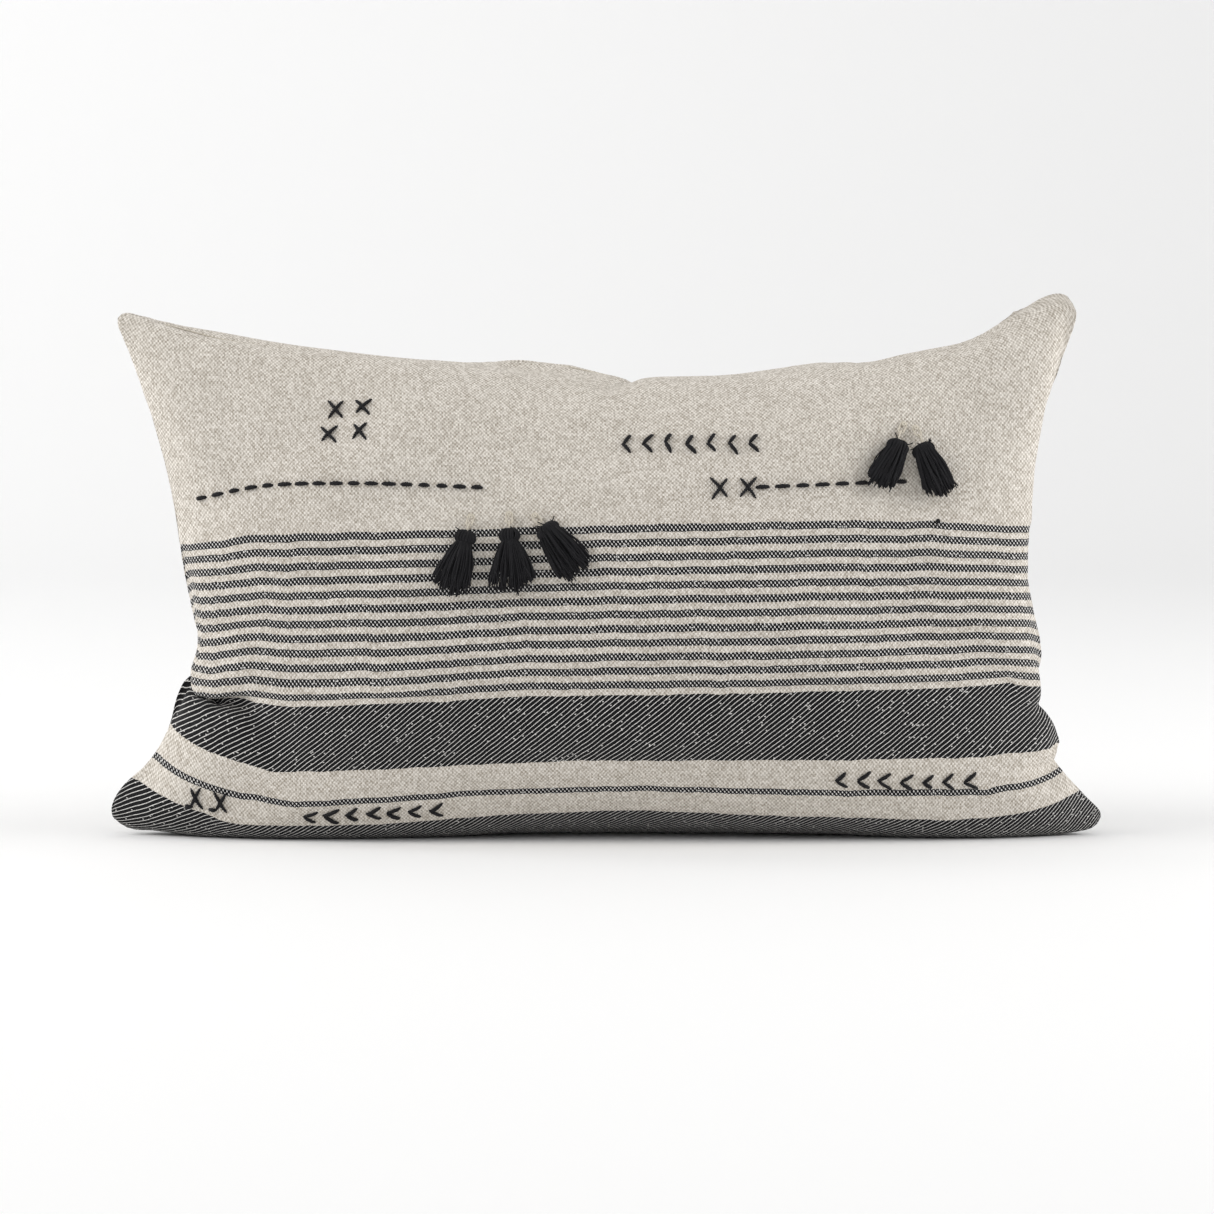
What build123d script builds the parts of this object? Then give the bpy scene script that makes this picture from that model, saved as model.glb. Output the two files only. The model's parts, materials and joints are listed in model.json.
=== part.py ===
from build123d import *
import math
import os

# A lumbar throw pillow that stands on its long bottom edge: a zipped, woven cover with hand
# embroidery and five tassels, over a filled insert. Millimetres, X to the viewer's right,
# Y away from the viewer, Z up. The front panel faces -Y.

# ---- the stuffed shape ---------------------------------------------------------------------
LEAN_DEG = 3.5
LEAN = math.tan(math.radians(LEAN_DEG))  # the seam plane leans back as it rises
FRONT_DEPTH = 78.0  # how far the front panel bulges out of the seam plane
BACK_DEPTH = 74.0
BELLY_EXPONENT = 1.09  # above 1, the fullest height is below the middle
GRID_U, GRID_V = 29, 17  # points of each surface grid, along X and up
ROUGH_WIDTH, ROUGH_HEIGHT = 560, 290  # of a panel, for stepping towards a place on it
SEARCH_STEPS = 40
HALF_SPACE = (800, 400, 500)  # larger than the whole object

# The sewn outline, as (x, z), seen from the front.
LEFT_EDGE = Spline((-294, 4), (-262, 60), (-244, 115), (-252, 180), (-271, 250), (-288, 313))
RIGHT_EDGE = Spline((294, 2), (268, 52), (256, 112), (251, 170), (257, 235), (279, 321))
BOTTOM_EDGE = Spline((-294, 4), (-235, -4), (0, -6), (235, -4), (294, 2))
TOP_EDGE = Spline((-288, 313), (-220, 299), (-120, 286), (0, 275), (120, 283), (215, 297), (279, 321))

# Nested layers: inset of the outline, thinning of the bulge, height of the flattened base.
COVER_OUTSIDE = (0.0, 0.0, 0.0)
COVER_INSIDE = (1.4, 1.2, 1.2)
CASING_OUTSIDE = (5.0, 2.0, 1.8)
CASING_INSIDE = (6.0, 2.8, 2.6)
FILL_OUTSIDE = (8.0, 4.0, 3.2)
FILL_EDGE = 0.6
# Room kept clear round the zipper: growth of the hems' length, width and height.
HEMS = (10, 0, 0)
CASING_CLEARANCE = (12, 1, 1)
CASING_WALL_CLEARANCE = (14, 3, 2)
FILL_CLEARANCE = (16, 5, 3)

# ---- the zipper in the bottom seam ---------------------------------------------------------
ZIP_Y = 0.5
GROOVE_LENGTH, GROOVE_WIDTH = 490.0, 10.0
HEM_WIDTH, HEM_TOP = 25.0, 10.4  # the folded hems beside the groove
CUT_BOTTOM = -5.0  # cuts start below everything
SLOT_TOP = HEM_TOP + 2
TAPE_BOTTOM, TAPE_TOP = 8.0, 8.5
TAPE_LENGTH, TAPE_GAP, TAPE_REACH = 480.0, 0.8, 11.0
COIL_LENGTH, COIL_GAP, COIL_REACH, COIL_BOTTOM = 452.0, 0.7, 2.5, 6.4
STOP_DISTANCE = 2.5  # from an end of the coils to the middle of a stop
TOP_STOP_LENGTH, TOP_STOP_GAP, TOP_STOP_REACH, TOP_STOP_BOTTOM = 3.0, 0.9, 2.8, 6.2
BOTTOM_STOP_SIZE, BOTTOM_STOP_Z = (4.0, 5.6, 1.8), 7.1
SLIDER_X = 220.0  # the slider's middle when the zipper is closed
SLIDER_TRAVEL = 440.0
SLIDER_LENGTH, SLIDER_WIDTH, SLIDER_CORNER = 9.0, 7.2, 1.6
INNER_PLATE_Z, INNER_PLATE_THICK = 9.4, 1.0
OUTER_PLATE_Z, OUTER_PLATE_THICK = 5.55, 1.1
POST_X, POST_Z, POST_SIZE = 2.6, 7.5, (3.0, 0.7, 3.0)
FLANGE_Y, FLANGE_Z, FLANGE_SIZE = 3.25, 6.8, (5.6, 0.7, 1.6)
BAIL_Z, BAIL_SIZE = 3.65, (6.2, 1.6, 2.9)
PULL_AXIS_Z = 4.0
BAIL_HOLE_SIZE = (4.2, 1.6, 2.0)
PULL_LENGTH, PULL_WIDTH, PULL_THICK, PULL_TIP = 18.0, 4.6, 1.0, 1.8
PULL_OPENING_LENGTH, PULL_OPENING_WIDTH, PULL_BAR_RADIUS = 4.4, 2.6, 0.6

# ---- thread work ---------------------------------------------------------------------------
STITCH_RADIUS = 1.0
STITCH_LIFT = 0.35  # the middle of a stitch stands this far off the cloth
SEAM_THREAD_RADIUS = 0.4
SEAM_THREAD_INSET = 3.0
SEAM_BEND_SHARE = 0.45  # of the shorter neighbour, taken by each rounded bend
SIDE_SEAM = (0.05, 0.9, 12)  # start, length and steps, as shares of the edge
TOP_SEAM = (0.03, 0.94, 20)

# Crosses, as (x, z) of each middle; arms are half the width and height of one.
CROSSES = {
    "crosses_upper_left": ([(-160.5, 255.5), (-143.5, 257), (-163.5, 241.5), (-144.5, 243)], (4.2, 4.2)),
    "crosses_right": ([(65.5, 210), (83, 210)], (4.6, 5.4)),
    "crosses_lower_left": ([(-243.5, 25), (-229, 23.5)], (3.4, 5.6)),
}
# Chevrons that open to the right: first and last middle, count, half width and half height.
CHEVRONS = {
    "chevrons_upper_right": ((11.5, 235.5), (86, 235.5), 7, (2.2, 5.0)),
    "chevrons_lower_left": ((-175.5, 15.5), (-100.5, 19.5), 7, (4.0, 3.8)),
    "chevrons_lower_right": ((137.5, 38), (214.5, 36), 7, (3.4, 4.8)),
}
# Running stitch: the line it follows, the number of dashes, and the length of one.
RUNNING_STITCHES = {
    "running_stitch_left": (Spline((-240, 203), (-206, 210), (-150, 212.7), (-76, 210.3)), 17, 5.6),
    "running_stitch_right": (Spline((91, 210.5), (130, 212), (173, 213)), 8, 6.0),
}
KNOT_AT = (194, 190)
THREAD_KNOT_SINK, THREAD_KNOT_MIDDLE = -0.3, 0.8
THREAD_KNOT_RADIUS, THREAD_KNOT_HEIGHT = 1.3, 1.8

# ---- tassels: anchor x and z, lean to the right in degrees, half the width of the fringe ----
TASSELS = {
    1: (-79.1, 192.7, -15, 11),
    2: (-57, 194.2, 3, 12),
    3: (-41.9, 193.4, 37, 11),
    4: (174.5, 245.5, -24, 9),
    5: (181.5, 243.5, 24, 9.5),
}
ANCHOR_RADIUS, ANCHOR_BOTTOM, ANCHOR_TOP = 0.7, -0.8, 3.6
KNOT_RADIUS = 1.3
KNOT_BOTTOM, KNOT_TOP = 3.4, 4.0
LINK_HEIGHT, LINK_REACH, LINK_BEND, THREAD_RADIUS = 2.6, 5.5, 1.7, 0.5
LINK_ROUNDING = 0.95  # of the bend, so that a short straight is left at each end
EYE_RADIUS, EYE_THREAD = 1.4, 0.45
HEAD_RADIUS, HEAD_REACH, HEAD_HEIGHT = 3.4, 9.6, 4.0
NECK_RADIUS, WRAP_RADIUS, WRAP_START, WRAP_END = 1.9, 2.7, 12.4, 14.8
WRAP_CLEARANCE = 0.02
SKIRT_END, SKIRT_HALF_THICK = 42.0, 2.9
SKIRT_NECK = (2.9, 2.4)  # half width and half thickness where the fringe leaves the neck


# ---- the stuffed surface --------------------------------------------------------------------
def outline_point(u, v, inset):
    """A point of the seam plane, blended from the four edges; u runs right and v up."""
    left, right = LEFT_EDGE @ v, RIGHT_EDGE @ v
    bottom, top = BOTTOM_EDGE @ u, TOP_EDGE @ u
    corners = (
        (1 - u) * (1 - v) * (BOTTOM_EDGE @ 0)
        + u * (1 - v) * (BOTTOM_EDGE @ 1)
        + (1 - u) * v * (TOP_EDGE @ 0)
        + u * v * (TOP_EDGE @ 1)
    )
    point = (1 - v) * bottom + v * top + (1 - u) * left + u * right - corners
    return point.X + inset * (1 - 2 * u), point.Y + inset * (1 - 2 * v)


def bulge(u, v, depth):
    """Distance of the cloth from the seam plane: blunt along the sides, thin at the corners."""
    across = math.sqrt(max(0.0, 1 - (2 * u - 1) ** 2))
    up = math.sqrt(max(0.0, 1 - (2 * v ** (1 / BELLY_EXPONENT) - 1) ** 2))
    return depth * across * up


def panel_face(side, depth, inset, edge=0.0):
    """The cloth of one side; edge is its distance from the seam plane along the outline."""
    rows = []
    for j in range(GRID_V):
        v = ((1 + math.sin(math.pi * (j / (GRID_V - 1) - 0.5))) / 2) ** BELLY_EXPONENT
        row = []
        for i in range(GRID_U):
            u = (1 + math.sin(math.pi * (i / (GRID_U - 1) - 0.5))) / 2
            x, z = outline_point(u, v, inset)
            row.append((x, side * (edge + bulge(u, v, depth)) + z * LEAN, z))
        rows.append(row)
    return Face.make_surface_from_array_of_points(rows)


def above(height):
    """Everything above a height."""
    return Pos(0, 0, height + HALF_SPACE[2] / 2) * Box(*HALF_SPACE)


def stuffed_half(side, layer):
    """The closed half of a nested layer, before (-1) or behind (1) the seam plane."""
    inset, thin, base = layer
    depth = FRONT_DEPTH if side < 0 else BACK_DEPTH
    cloth = panel_face(side, depth - thin, inset)
    middle = Face(Wire(cloth.edges()))
    return Solid(Shell([cloth, middle])) & above(base)


def seam_strip(edge, others):
    """The narrow strip between an edge of the front cloth and the same edge of the back."""
    other = min(others, key=lambda e: (e @ 0.5 - edge @ 0.5).length)
    if (other @ 0 - edge @ 0).length > (other @ 1 - edge @ 0).length:
        other = other.reversed()
    return Face.make_surface_from_curves(edge, other)


def stuffed_whole(layer, edge):
    """A whole nested layer as one closed solid, with an edge of its own thickness."""
    inset, thin, base = layer
    front = panel_face(-1, FRONT_DEPTH - thin, inset, edge)
    back = panel_face(1, BACK_DEPTH - thin, inset, edge)
    strips = [seam_strip(side, back.edges()) for side in front.edges()]
    return Solid(Shell([front, back, *strips])) & above(base)


def zip_block(length, width, bottom, top):
    """A box centred on the zipper."""
    return Pos(0, ZIP_Y, (bottom + top) / 2) * Box(length, width, top - bottom)


def hem_block(growth):
    """The block of the two hems, grown in length, width and height."""
    longer, wider, higher = growth
    return zip_block(GROOVE_LENGTH + longer, HEM_WIDTH + wider, CUT_BOTTOM, HEM_TOP + higher)


def front_y(x, z):
    """Depth of the front panel's outside at a place seen from the front."""
    u, v = 0.5, 0.5
    for _ in range(SEARCH_STEPS):
        at_x, at_z = outline_point(u, v, 0)
        u = min(max(u + (x - at_x) / ROUGH_WIDTH, 0.0), 1.0)
        v = min(max(v + (z - at_z) / ROUGH_HEIGHT, 0.0), 1.0)
    return -bulge(u, v, FRONT_DEPTH) + z * LEAN


def on_front(x, z, lift=0.0):
    """A point on the front panel, its outward normal, and the point raised along it."""
    step = 1.0
    slope_x = (front_y(x + step, z) - front_y(x - step, z)) / (2 * step)
    slope_z = (front_y(x, z + step) - front_y(x, z - step)) / (2 * step)
    normal = Vector(slope_x, -1, slope_z).normalized()
    return Vector(x, front_y(x, z), z) + lift * normal, normal


# ---- cover and insert -----------------------------------------------------------------------
def make_cover_panel(side):
    groove = zip_block(GROOVE_LENGTH, GROOVE_WIDTH, CUT_BOTTOM, SLOT_TOP)
    tape_slot = zip_block(GROOVE_LENGTH, 2 * TAPE_REACH + 1, TAPE_BOTTOM, SLOT_TOP)
    room_inside = stuffed_half(side, COVER_INSIDE) - hem_block(HEMS)
    return stuffed_half(side, COVER_OUTSIDE) - room_inside - groove - tape_slot


def make_casing_panel(side):
    room_inside = stuffed_half(side, CASING_INSIDE) - hem_block(CASING_WALL_CLEARANCE)
    return stuffed_half(side, CASING_OUTSIDE) - hem_block(CASING_CLEARANCE) - room_inside


def make_fill():
    return stuffed_whole(FILL_OUTSIDE, FILL_EDGE) - hem_block(FILL_CLEARANCE)


def shares(start, length, steps):
    """Evenly spaced shares of an edge."""
    return [start + length * i / steps for i in range(steps + 1)]


def seam_thread(places):
    """The line of lockstitch inside a seam, through (u, v) places of the outline."""
    points = []
    for u, v in places:
        x, z = outline_point(u, v, SEAM_THREAD_INSET)
        points.append(Vector(x, z * LEAN, z))
    radii = []
    for before, at, after in zip(points, points[1:], points[2:]):
        turn = math.radians((at - before).get_angle(after - at))
        shorter = min((at - before).length, (after - at).length)
        radii.append(SEAM_BEND_SHARE * shorter / math.tan(turn / 2))
    path = FilletPolyline(*points, radius=radii)
    section = Plane(origin=path @ 0, z_dir=path % 0) * Circle(SEAM_THREAD_RADIUS)
    return sweep(section, path=path)


# ---- zipper ---------------------------------------------------------------------------------
def beside_zip(length, inner, outer, bottom, top, side, x=0.0):
    """A bar along the zipper, from inner to outer away from its middle."""
    middle = ZIP_Y + side * (inner + outer) / 2
    return Pos(x, middle, (bottom + top) / 2) * Box(length, outer - inner, top - bottom)


def make_tape(side):
    return beside_zip(TAPE_LENGTH, TAPE_GAP, TAPE_REACH, TAPE_BOTTOM, TAPE_TOP, side)


def make_coil(side):
    return beside_zip(COIL_LENGTH, COIL_GAP, COIL_REACH, COIL_BOTTOM, TAPE_BOTTOM, side)


def make_top_stops():
    x = COIL_LENGTH / 2 + STOP_DISTANCE
    size = (TOP_STOP_LENGTH, TOP_STOP_GAP, TOP_STOP_REACH, TOP_STOP_BOTTOM, TAPE_BOTTOM)
    return Compound([beside_zip(*size, side, x) for side in (-1, 1)])


def make_bottom_stop():
    return Pos(-COIL_LENGTH / 2 - STOP_DISTANCE, ZIP_Y, BOTTOM_STOP_Z) * Box(*BOTTOM_STOP_SIZE)


def make_slider():
    """Two plates round the chain, a post between its halves, and a bail for the pull."""
    inner_plate = Pos(0, 0, INNER_PLATE_Z) * Box(SLIDER_LENGTH, SLIDER_WIDTH, INNER_PLATE_THICK)
    outer_plate = Pos(0, 0, OUTER_PLATE_Z) * Box(SLIDER_LENGTH, SLIDER_WIDTH, OUTER_PLATE_THICK)
    body = fillet((inner_plate + outer_plate).edges().filter_by(Axis.Z), SLIDER_CORNER)
    post = Pos(POST_X, 0, POST_Z) * Box(*POST_SIZE)
    flanges = [Pos(0, side * FLANGE_Y, FLANGE_Z) * Box(*FLANGE_SIZE) for side in (-1, 1)]
    bail = Pos(0, 0, BAIL_Z) * Box(*BAIL_SIZE) - Pos(0, 0, PULL_AXIS_Z) * Box(*BAIL_HOLE_SIZE)
    return Pos(SLIDER_X, ZIP_Y, 0) * (body + post + flanges[0] + flanges[1] + bail)


def make_pull():
    """A flat pull tab whose end bar passes through the slider's bail."""
    tab = Pos(-PULL_LENGTH / 2, 0, 0) * Box(PULL_LENGTH, PULL_WIDTH, PULL_THICK)
    opening = Box(PULL_OPENING_LENGTH, PULL_OPENING_WIDTH, PULL_THICK)
    frame = tab - Pos(-PULL_OPENING_LENGTH / 2, 0, 0) * opening
    tip = frame.edges().filter_by(Axis.Z).sort_by(Axis.X)[:2]
    bar = Rot(90, 0, 0) * Cylinder(PULL_BAR_RADIUS, PULL_WIDTH)
    return Pos(SLIDER_X, ZIP_Y, PULL_AXIS_Z) * (fillet(tip, PULL_TIP) + bar)


# ---- embroidery -----------------------------------------------------------------------------
def stitch(start, end):
    """One straight stitch of heavy thread, lying on the front panel."""
    a, b = on_front(*start, STITCH_LIFT)[0], on_front(*end, STITCH_LIFT)[0]
    return Solid.make_cylinder(STITCH_RADIUS, (b - a).length, Plane(origin=a, z_dir=b - a))


def make_crosses(middles, half):
    crosses = []
    for x, z in middles:
        w, h = half
        arms = stitch((x - w, z + h), (x + w, z - h)) + stitch((x - w, z - h), (x + w, z + h))
        crosses.append(arms.solid())
    return Compound(crosses)


def make_chevrons(first, last, count, half):
    w, h = half
    chevrons = []
    for i in range(count):
        along = i / (count - 1)
        x = first[0] + along * (last[0] - first[0])
        z = first[1] + along * (last[1] - first[1])
        arms = stitch((x - w, z), (x + w, z + h)) + stitch((x - w, z), (x + w, z - h))
        chevrons.append(arms.solid())
    return Compound(chevrons)


def make_running_stitch(line, count, dash):
    dashes = []
    for i in range(count):
        middle, along = line @ (i / (count - 1)), line % (i / (count - 1))
        start, end = middle - along * (dash / 2), middle + along * (dash / 2)
        dashes.append(stitch((start.X, start.Y), (end.X, end.Y)))
    return Compound(dashes)


# ---- tassels --------------------------------------------------------------------------------
def tassel_frame(number):
    """Local frame of a tassel: x along it, z off the cloth, origin where it is sewn on."""
    x, z, lean, _ = TASSELS[number]
    origin, normal = on_front(x, z)
    down = Vector(0, 0, -1) - normal * Vector(0, 0, -1).dot(normal)
    along = down.normalized().rotate(Axis((0, 0, 0), tuple(normal)), lean)
    return Plane(origin=origin, x_dir=along, z_dir=normal)


def make_anchor():
    """A short post of thread out of the cloth, with a knot that holds the link on."""
    middle = (ANCHOR_BOTTOM + ANCHOR_TOP) / 2
    post = Pos(0, 0, middle) * Cylinder(ANCHOR_RADIUS, ANCHOR_TOP - ANCHOR_BOTTOM)
    knot = Pos(0, 0, (KNOT_BOTTOM + KNOT_TOP) / 2) * Cylinder(KNOT_RADIUS, KNOT_TOP - KNOT_BOTTOM)
    return post + knot


def make_link():
    """A closed loop of thread, round the post at one end and the tassel's eye at the other."""
    near, far = -LINK_BEND, LINK_REACH
    corners = [(near, -LINK_BEND), (far, -LINK_BEND), (far, LINK_BEND), (near, LINK_BEND)]
    path = FilletPolyline(*corners, radius=LINK_ROUNDING * LINK_BEND, close=True)
    section = Plane(origin=path @ 0, z_dir=path % 0) * Circle(THREAD_RADIUS)
    return Pos(0, 0, LINK_HEIGHT) * sweep(section, path=path)


def make_head():
    """The tied head, with its eye of thread on one side and its neck on the other."""
    eye = Pos(LINK_REACH, 0, LINK_HEIGHT) * Rot(90, 0, 0) * Torus(EYE_RADIUS, EYE_THREAD)
    ball = Pos(HEAD_REACH, 0, HEAD_HEIGHT) * Sphere(HEAD_RADIUS)
    neck_length = WRAP_END - HEAD_REACH
    neck = Pos(HEAD_REACH + neck_length / 2, 0, HEAD_HEIGHT) * Rot(0, 90, 0)
    return ball + neck * Cylinder(NECK_RADIUS, neck_length) + eye


def make_wrap():
    middle = Pos((WRAP_START + WRAP_END) / 2, 0, HEAD_HEIGHT) * Rot(0, 90, 0)
    length = WRAP_END - WRAP_START
    return middle * (Cylinder(WRAP_RADIUS, length) - Cylinder(NECK_RADIUS + WRAP_CLEARANCE, length))


def make_skirt(half_width):
    """The fringe as one flat, flared bundle."""
    start = Plane(origin=(WRAP_END, 0, HEAD_HEIGHT), x_dir=(0, 1, 0), z_dir=(1, 0, 0))
    end = Plane(origin=(SKIRT_END, 0, HEAD_HEIGHT), x_dir=(0, 1, 0), z_dir=(1, 0, 0))
    return loft([start * Ellipse(*SKIRT_NECK), end * Ellipse(half_width, SKIRT_HALF_THICK)])


# ---- the assembly ---------------------------------------------------------------------------
def make_cover_and_insert():
    nodes = {}
    for side, name in ((-1, "front"), (1, "back")):
        nodes[f"cover_{name}_panel"] = make_cover_panel(side)
        nodes[f"insert_casing_{name}"] = make_casing_panel(side)
    nodes["insert_fill"] = make_fill()
    nodes["seam_thread_left"] = seam_thread([(0, v) for v in shares(*SIDE_SEAM)])
    nodes["seam_thread_right"] = seam_thread([(1, v) for v in shares(*SIDE_SEAM)])
    nodes["seam_thread_top"] = seam_thread([(u, 1) for u in shares(*TOP_SEAM)])
    return nodes


def make_zipper():
    nodes = {}
    for side, name in ((-1, "front"), (1, "back")):
        nodes[f"zipper_tape_{name}"] = make_tape(side)
        nodes[f"zipper_coil_{name}"] = make_coil(side)
    nodes["zipper_top_stops"] = make_top_stops()
    nodes["zipper_bottom_stop"] = make_bottom_stop()
    nodes["zipper_slider"] = make_slider()
    nodes["zipper_pull_tab"] = make_pull()
    return nodes


def make_thread_knot():
    point, normal = on_front(*KNOT_AT, THREAD_KNOT_SINK)
    knot = Cylinder(THREAD_KNOT_RADIUS, THREAD_KNOT_HEIGHT)
    return Plane(origin=point, z_dir=normal) * Pos(0, 0, THREAD_KNOT_MIDDLE) * knot


def make_embroidery():
    nodes = {}
    for name, (middles, half) in CROSSES.items():
        nodes[name] = make_crosses(middles, half)
    for name, (first, last, count, half) in CHEVRONS.items():
        nodes[name] = make_chevrons(first, last, count, half)
    for name, (line, count, dash) in RUNNING_STITCHES.items():
        nodes[name] = make_running_stitch(line, count, dash)
    nodes["thread_knot"] = make_thread_knot()
    return nodes


def make_tassels():
    nodes = {}
    for number, (_, _, _, half_width) in TASSELS.items():
        frame = tassel_frame(number)
        nodes[f"tassel_{number}_anchor"] = frame * make_anchor()
        nodes[f"tassel_{number}_link"] = frame * make_link()
        nodes[f"tassel_{number}_head"] = frame * make_head()
        nodes[f"tassel_{number}_neck_wrap"] = frame * make_wrap()
        nodes[f"tassel_{number}_skirt"] = frame * make_skirt(half_width)
    return nodes


def centring_shift(nodes):
    """Moves the middle of the whole object's footprint to the origin."""
    boxes = [shape.bounding_box() for shape in nodes.values()]
    x = (min(b.min.X for b in boxes) + max(b.max.X for b in boxes)) / 2
    y = (min(b.min.Y for b in boxes) + max(b.max.Y for b in boxes)) / 2
    return Vector(-x, -y, 0)


def report_joints(shift):
    """Prints the places and directions that the moving parts turn and slide about."""
    pull_axis = Vector(SLIDER_X, ZIP_Y, PULL_AXIS_Z) + shift
    print("pull axis through", pull_axis, "slider travel", SLIDER_TRAVEL)
    for number in TASSELS:
        frame = tassel_frame(number)
        swing = frame.origin + shift
        lift = frame.from_local_coords(Vector(LINK_REACH, 0, LINK_HEIGHT)) + shift
        print("tassel", number, "swing", swing, frame.z_dir, "lift", lift, frame.y_dir)


os.makedirs("parts", exist_ok=True)
all_nodes = make_cover_and_insert() | make_zipper() | make_embroidery() | make_tassels()
shift_to_centre = centring_shift(all_nodes)
for node_name, node_shape in all_nodes.items():
    export_step(Pos(*shift_to_centre) * node_shape, f"parts/{node_name}.step")
report_joints(shift_to_centre)
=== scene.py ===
import json
import math

import bmesh
import bpy
import numpy as np
from mathutils import Matrix, Vector


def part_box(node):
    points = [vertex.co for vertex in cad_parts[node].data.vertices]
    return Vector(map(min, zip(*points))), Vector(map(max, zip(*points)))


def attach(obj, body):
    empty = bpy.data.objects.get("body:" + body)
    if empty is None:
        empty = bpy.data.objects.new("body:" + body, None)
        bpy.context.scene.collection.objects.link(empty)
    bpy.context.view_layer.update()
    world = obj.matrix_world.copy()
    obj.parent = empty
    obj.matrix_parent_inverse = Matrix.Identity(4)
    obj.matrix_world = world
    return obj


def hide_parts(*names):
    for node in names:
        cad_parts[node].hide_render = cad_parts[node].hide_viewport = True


# A lumbar pillow: a woven cover, sewn from two flat panels and stuffed by a small cloth solver,
# with its embroidery, tassels and zipper. Solver lengths are millimetres, scene lengths metres.

MM = 0.001
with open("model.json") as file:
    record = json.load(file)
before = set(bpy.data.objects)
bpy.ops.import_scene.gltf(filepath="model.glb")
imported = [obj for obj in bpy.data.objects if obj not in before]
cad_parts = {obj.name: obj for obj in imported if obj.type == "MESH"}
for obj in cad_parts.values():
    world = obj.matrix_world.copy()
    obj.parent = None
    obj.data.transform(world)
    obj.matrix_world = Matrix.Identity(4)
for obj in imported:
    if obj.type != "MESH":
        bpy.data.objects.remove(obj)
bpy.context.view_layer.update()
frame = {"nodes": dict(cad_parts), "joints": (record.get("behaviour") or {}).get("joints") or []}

# ---- the cover's flat cut ----
PANEL_WIDTH, PANEL_HEIGHT = 610.0, 356.0
# How far the pillow leans back, its depth on each side, and how low its belly hangs.
LEAN = math.tan(math.radians(3.5))
FRONT_DEPTH, BACK_DEPTH = 76.0, 72.0
BELLY_EXPONENT = 1.09
FLOOR_GAP = 0.4
BOTTOM_ENDS, BOTTOM_RISE, END_LIFT = (-296, 297), 1.2, 1.5
CLOTH_THICKNESS = 1.1

# The zipper's opening in the bottom seam, and the hems turned up beside it.
slider_low, slider_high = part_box("zipper_slider")
ZIP_Y = (slider_low.y + slider_high.y) / 2 / MM
SEAM_Y = ZIP_Y - 0.5
TAPE_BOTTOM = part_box("zipper_tape_front")[0].z / MM
OPENING_HALF, OPENING_GAP, OPENING_EASE = 245.0, 5.0, 15
HEM_ROWS, HEM_ROW, HEM_GAP = 3, 2.5, 0.1

# ---- woven pattern, as heights above the bottom seam ----
BOTTOM_BAND_TOP = 36.0
THIN_LINE = (51.6, 55.7)
WIDE_BAND = (74.0, 115.0)
STRIPE_START, STRIPE_PITCH, STRIPE_WIDTH, STRIPE_COUNT = 119.0, 8.5, 4.6, 12

# ---- seams ----
# Where the seam lies, as (place along the cut, x, z).
LEFT_SEAM = [
    (0, -295, 3), (8, -298, 9), (20, -297, 20), (37, -285, 35), (50, -274, 40), (56, -271, 46),
    (74, -263, 62), (88, -258, 84), (95, -253, 95), (103, -242, 97.5), (111, -232, 99),
    (119, -233, 100), (130, -235, 102.5), (138, -237, 105.5), (147, -240, 110), (155, -242, 115.5),
    (164, -245.5, 122), (181, -249, 138), (198, -252, 153.5), (217, -255, 172), (248, -260, 205),
    (280, -269, 240), (305, -277, 266), (330, -286, 290), (356, -301, 317),
]
RIGHT_SEAM = [
    (0, 297, 3), (8, 298, 9), (37, 283, 27), (55, 268, 40), (62, 265, 44), (70, 269, 50), (78, 272, 56),
    (90, 264, 68), (99, 255, 76), (107, 249, 82), (116, 249, 88), (130, 259, 99), (148, 260, 116),
    (165, 255, 133), (184, 248, 156), (200, 252, 171), (217, 252, 184), (255, 253, 222), (290, 260, 254),
    (328, 275, 290), (356, 288, 326),
]
TOP_SEAM = [
    (0, -301, 317), (18, -283, 312), (60, -240, 296), (123, -184, 285), (186, -124, 278), (225, -88, 281),
    (268, -46, 284), (300, -13, 276), (322, 8, 271), (334, 20, 264), (352, 36, 265), (372, 56, 266),
    (400, 84, 271), (433, 116, 280), (460, 143, 281), (476, 158, 270), (494, 176, 274), (530, 212, 286),
    (570, 247, 313), (592, 267, 324), (610, 288, 326),
]
# How far it has rolled forward, as (place along the cut, roll).
TOP_ROLL = [
    (0, 0), (40, 5), (120, 8), (200, 6), (240, 0), (440, 0), (480, 7), (525, 4), (555, -3), (590, -3),
    (610, 0),
]
RIGHT_ROLL = [(200, 0), (240, 6), (280, 6), (310, 0)]


def through(landmarks, at, column):
    """A smooth line through landmarks, read at a place along the cut."""
    known = np.array(landmarks, float)
    place, value = known[:, 0], known[:, column]
    slope = np.gradient(value, place)
    k = np.clip(np.searchsorted(place, at, side="right") - 1, 0, len(place) - 2)
    width = place[k + 1] - place[k]
    t = (at - place[k]) / width
    return (
        value[k] * (1 + 2 * t) * (1 - t) ** 2
        + slope[k] * width * t * (1 - t) ** 2
        + value[k + 1] * t * t * (3 - 2 * t)
        + slope[k + 1] * width * t * t * (t - 1)
    )


def seam_line(landmarks, at):
    """Points of the seam: x and z from the landmarks, y on the leaning seam plane."""
    x, z = through(landmarks, at, 1), through(landmarks, at, 2)
    return np.stack([x, SEAM_Y + z * LEAN, z], axis=-1)


def bottom_line(at):
    """Points of the bottom seam, which lies on the floor and lifts at its ends."""
    low, high = BOTTOM_ENDS
    x = low + at * ((high - low) / PANEL_WIDTH)
    z = FLOOR_GAP + BOTTOM_RISE + END_LIFT * np.abs(at / PANEL_WIDTH * 2 - 1) ** 8
    return np.stack([x, np.full_like(x, SEAM_Y), z], axis=-1)


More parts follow.
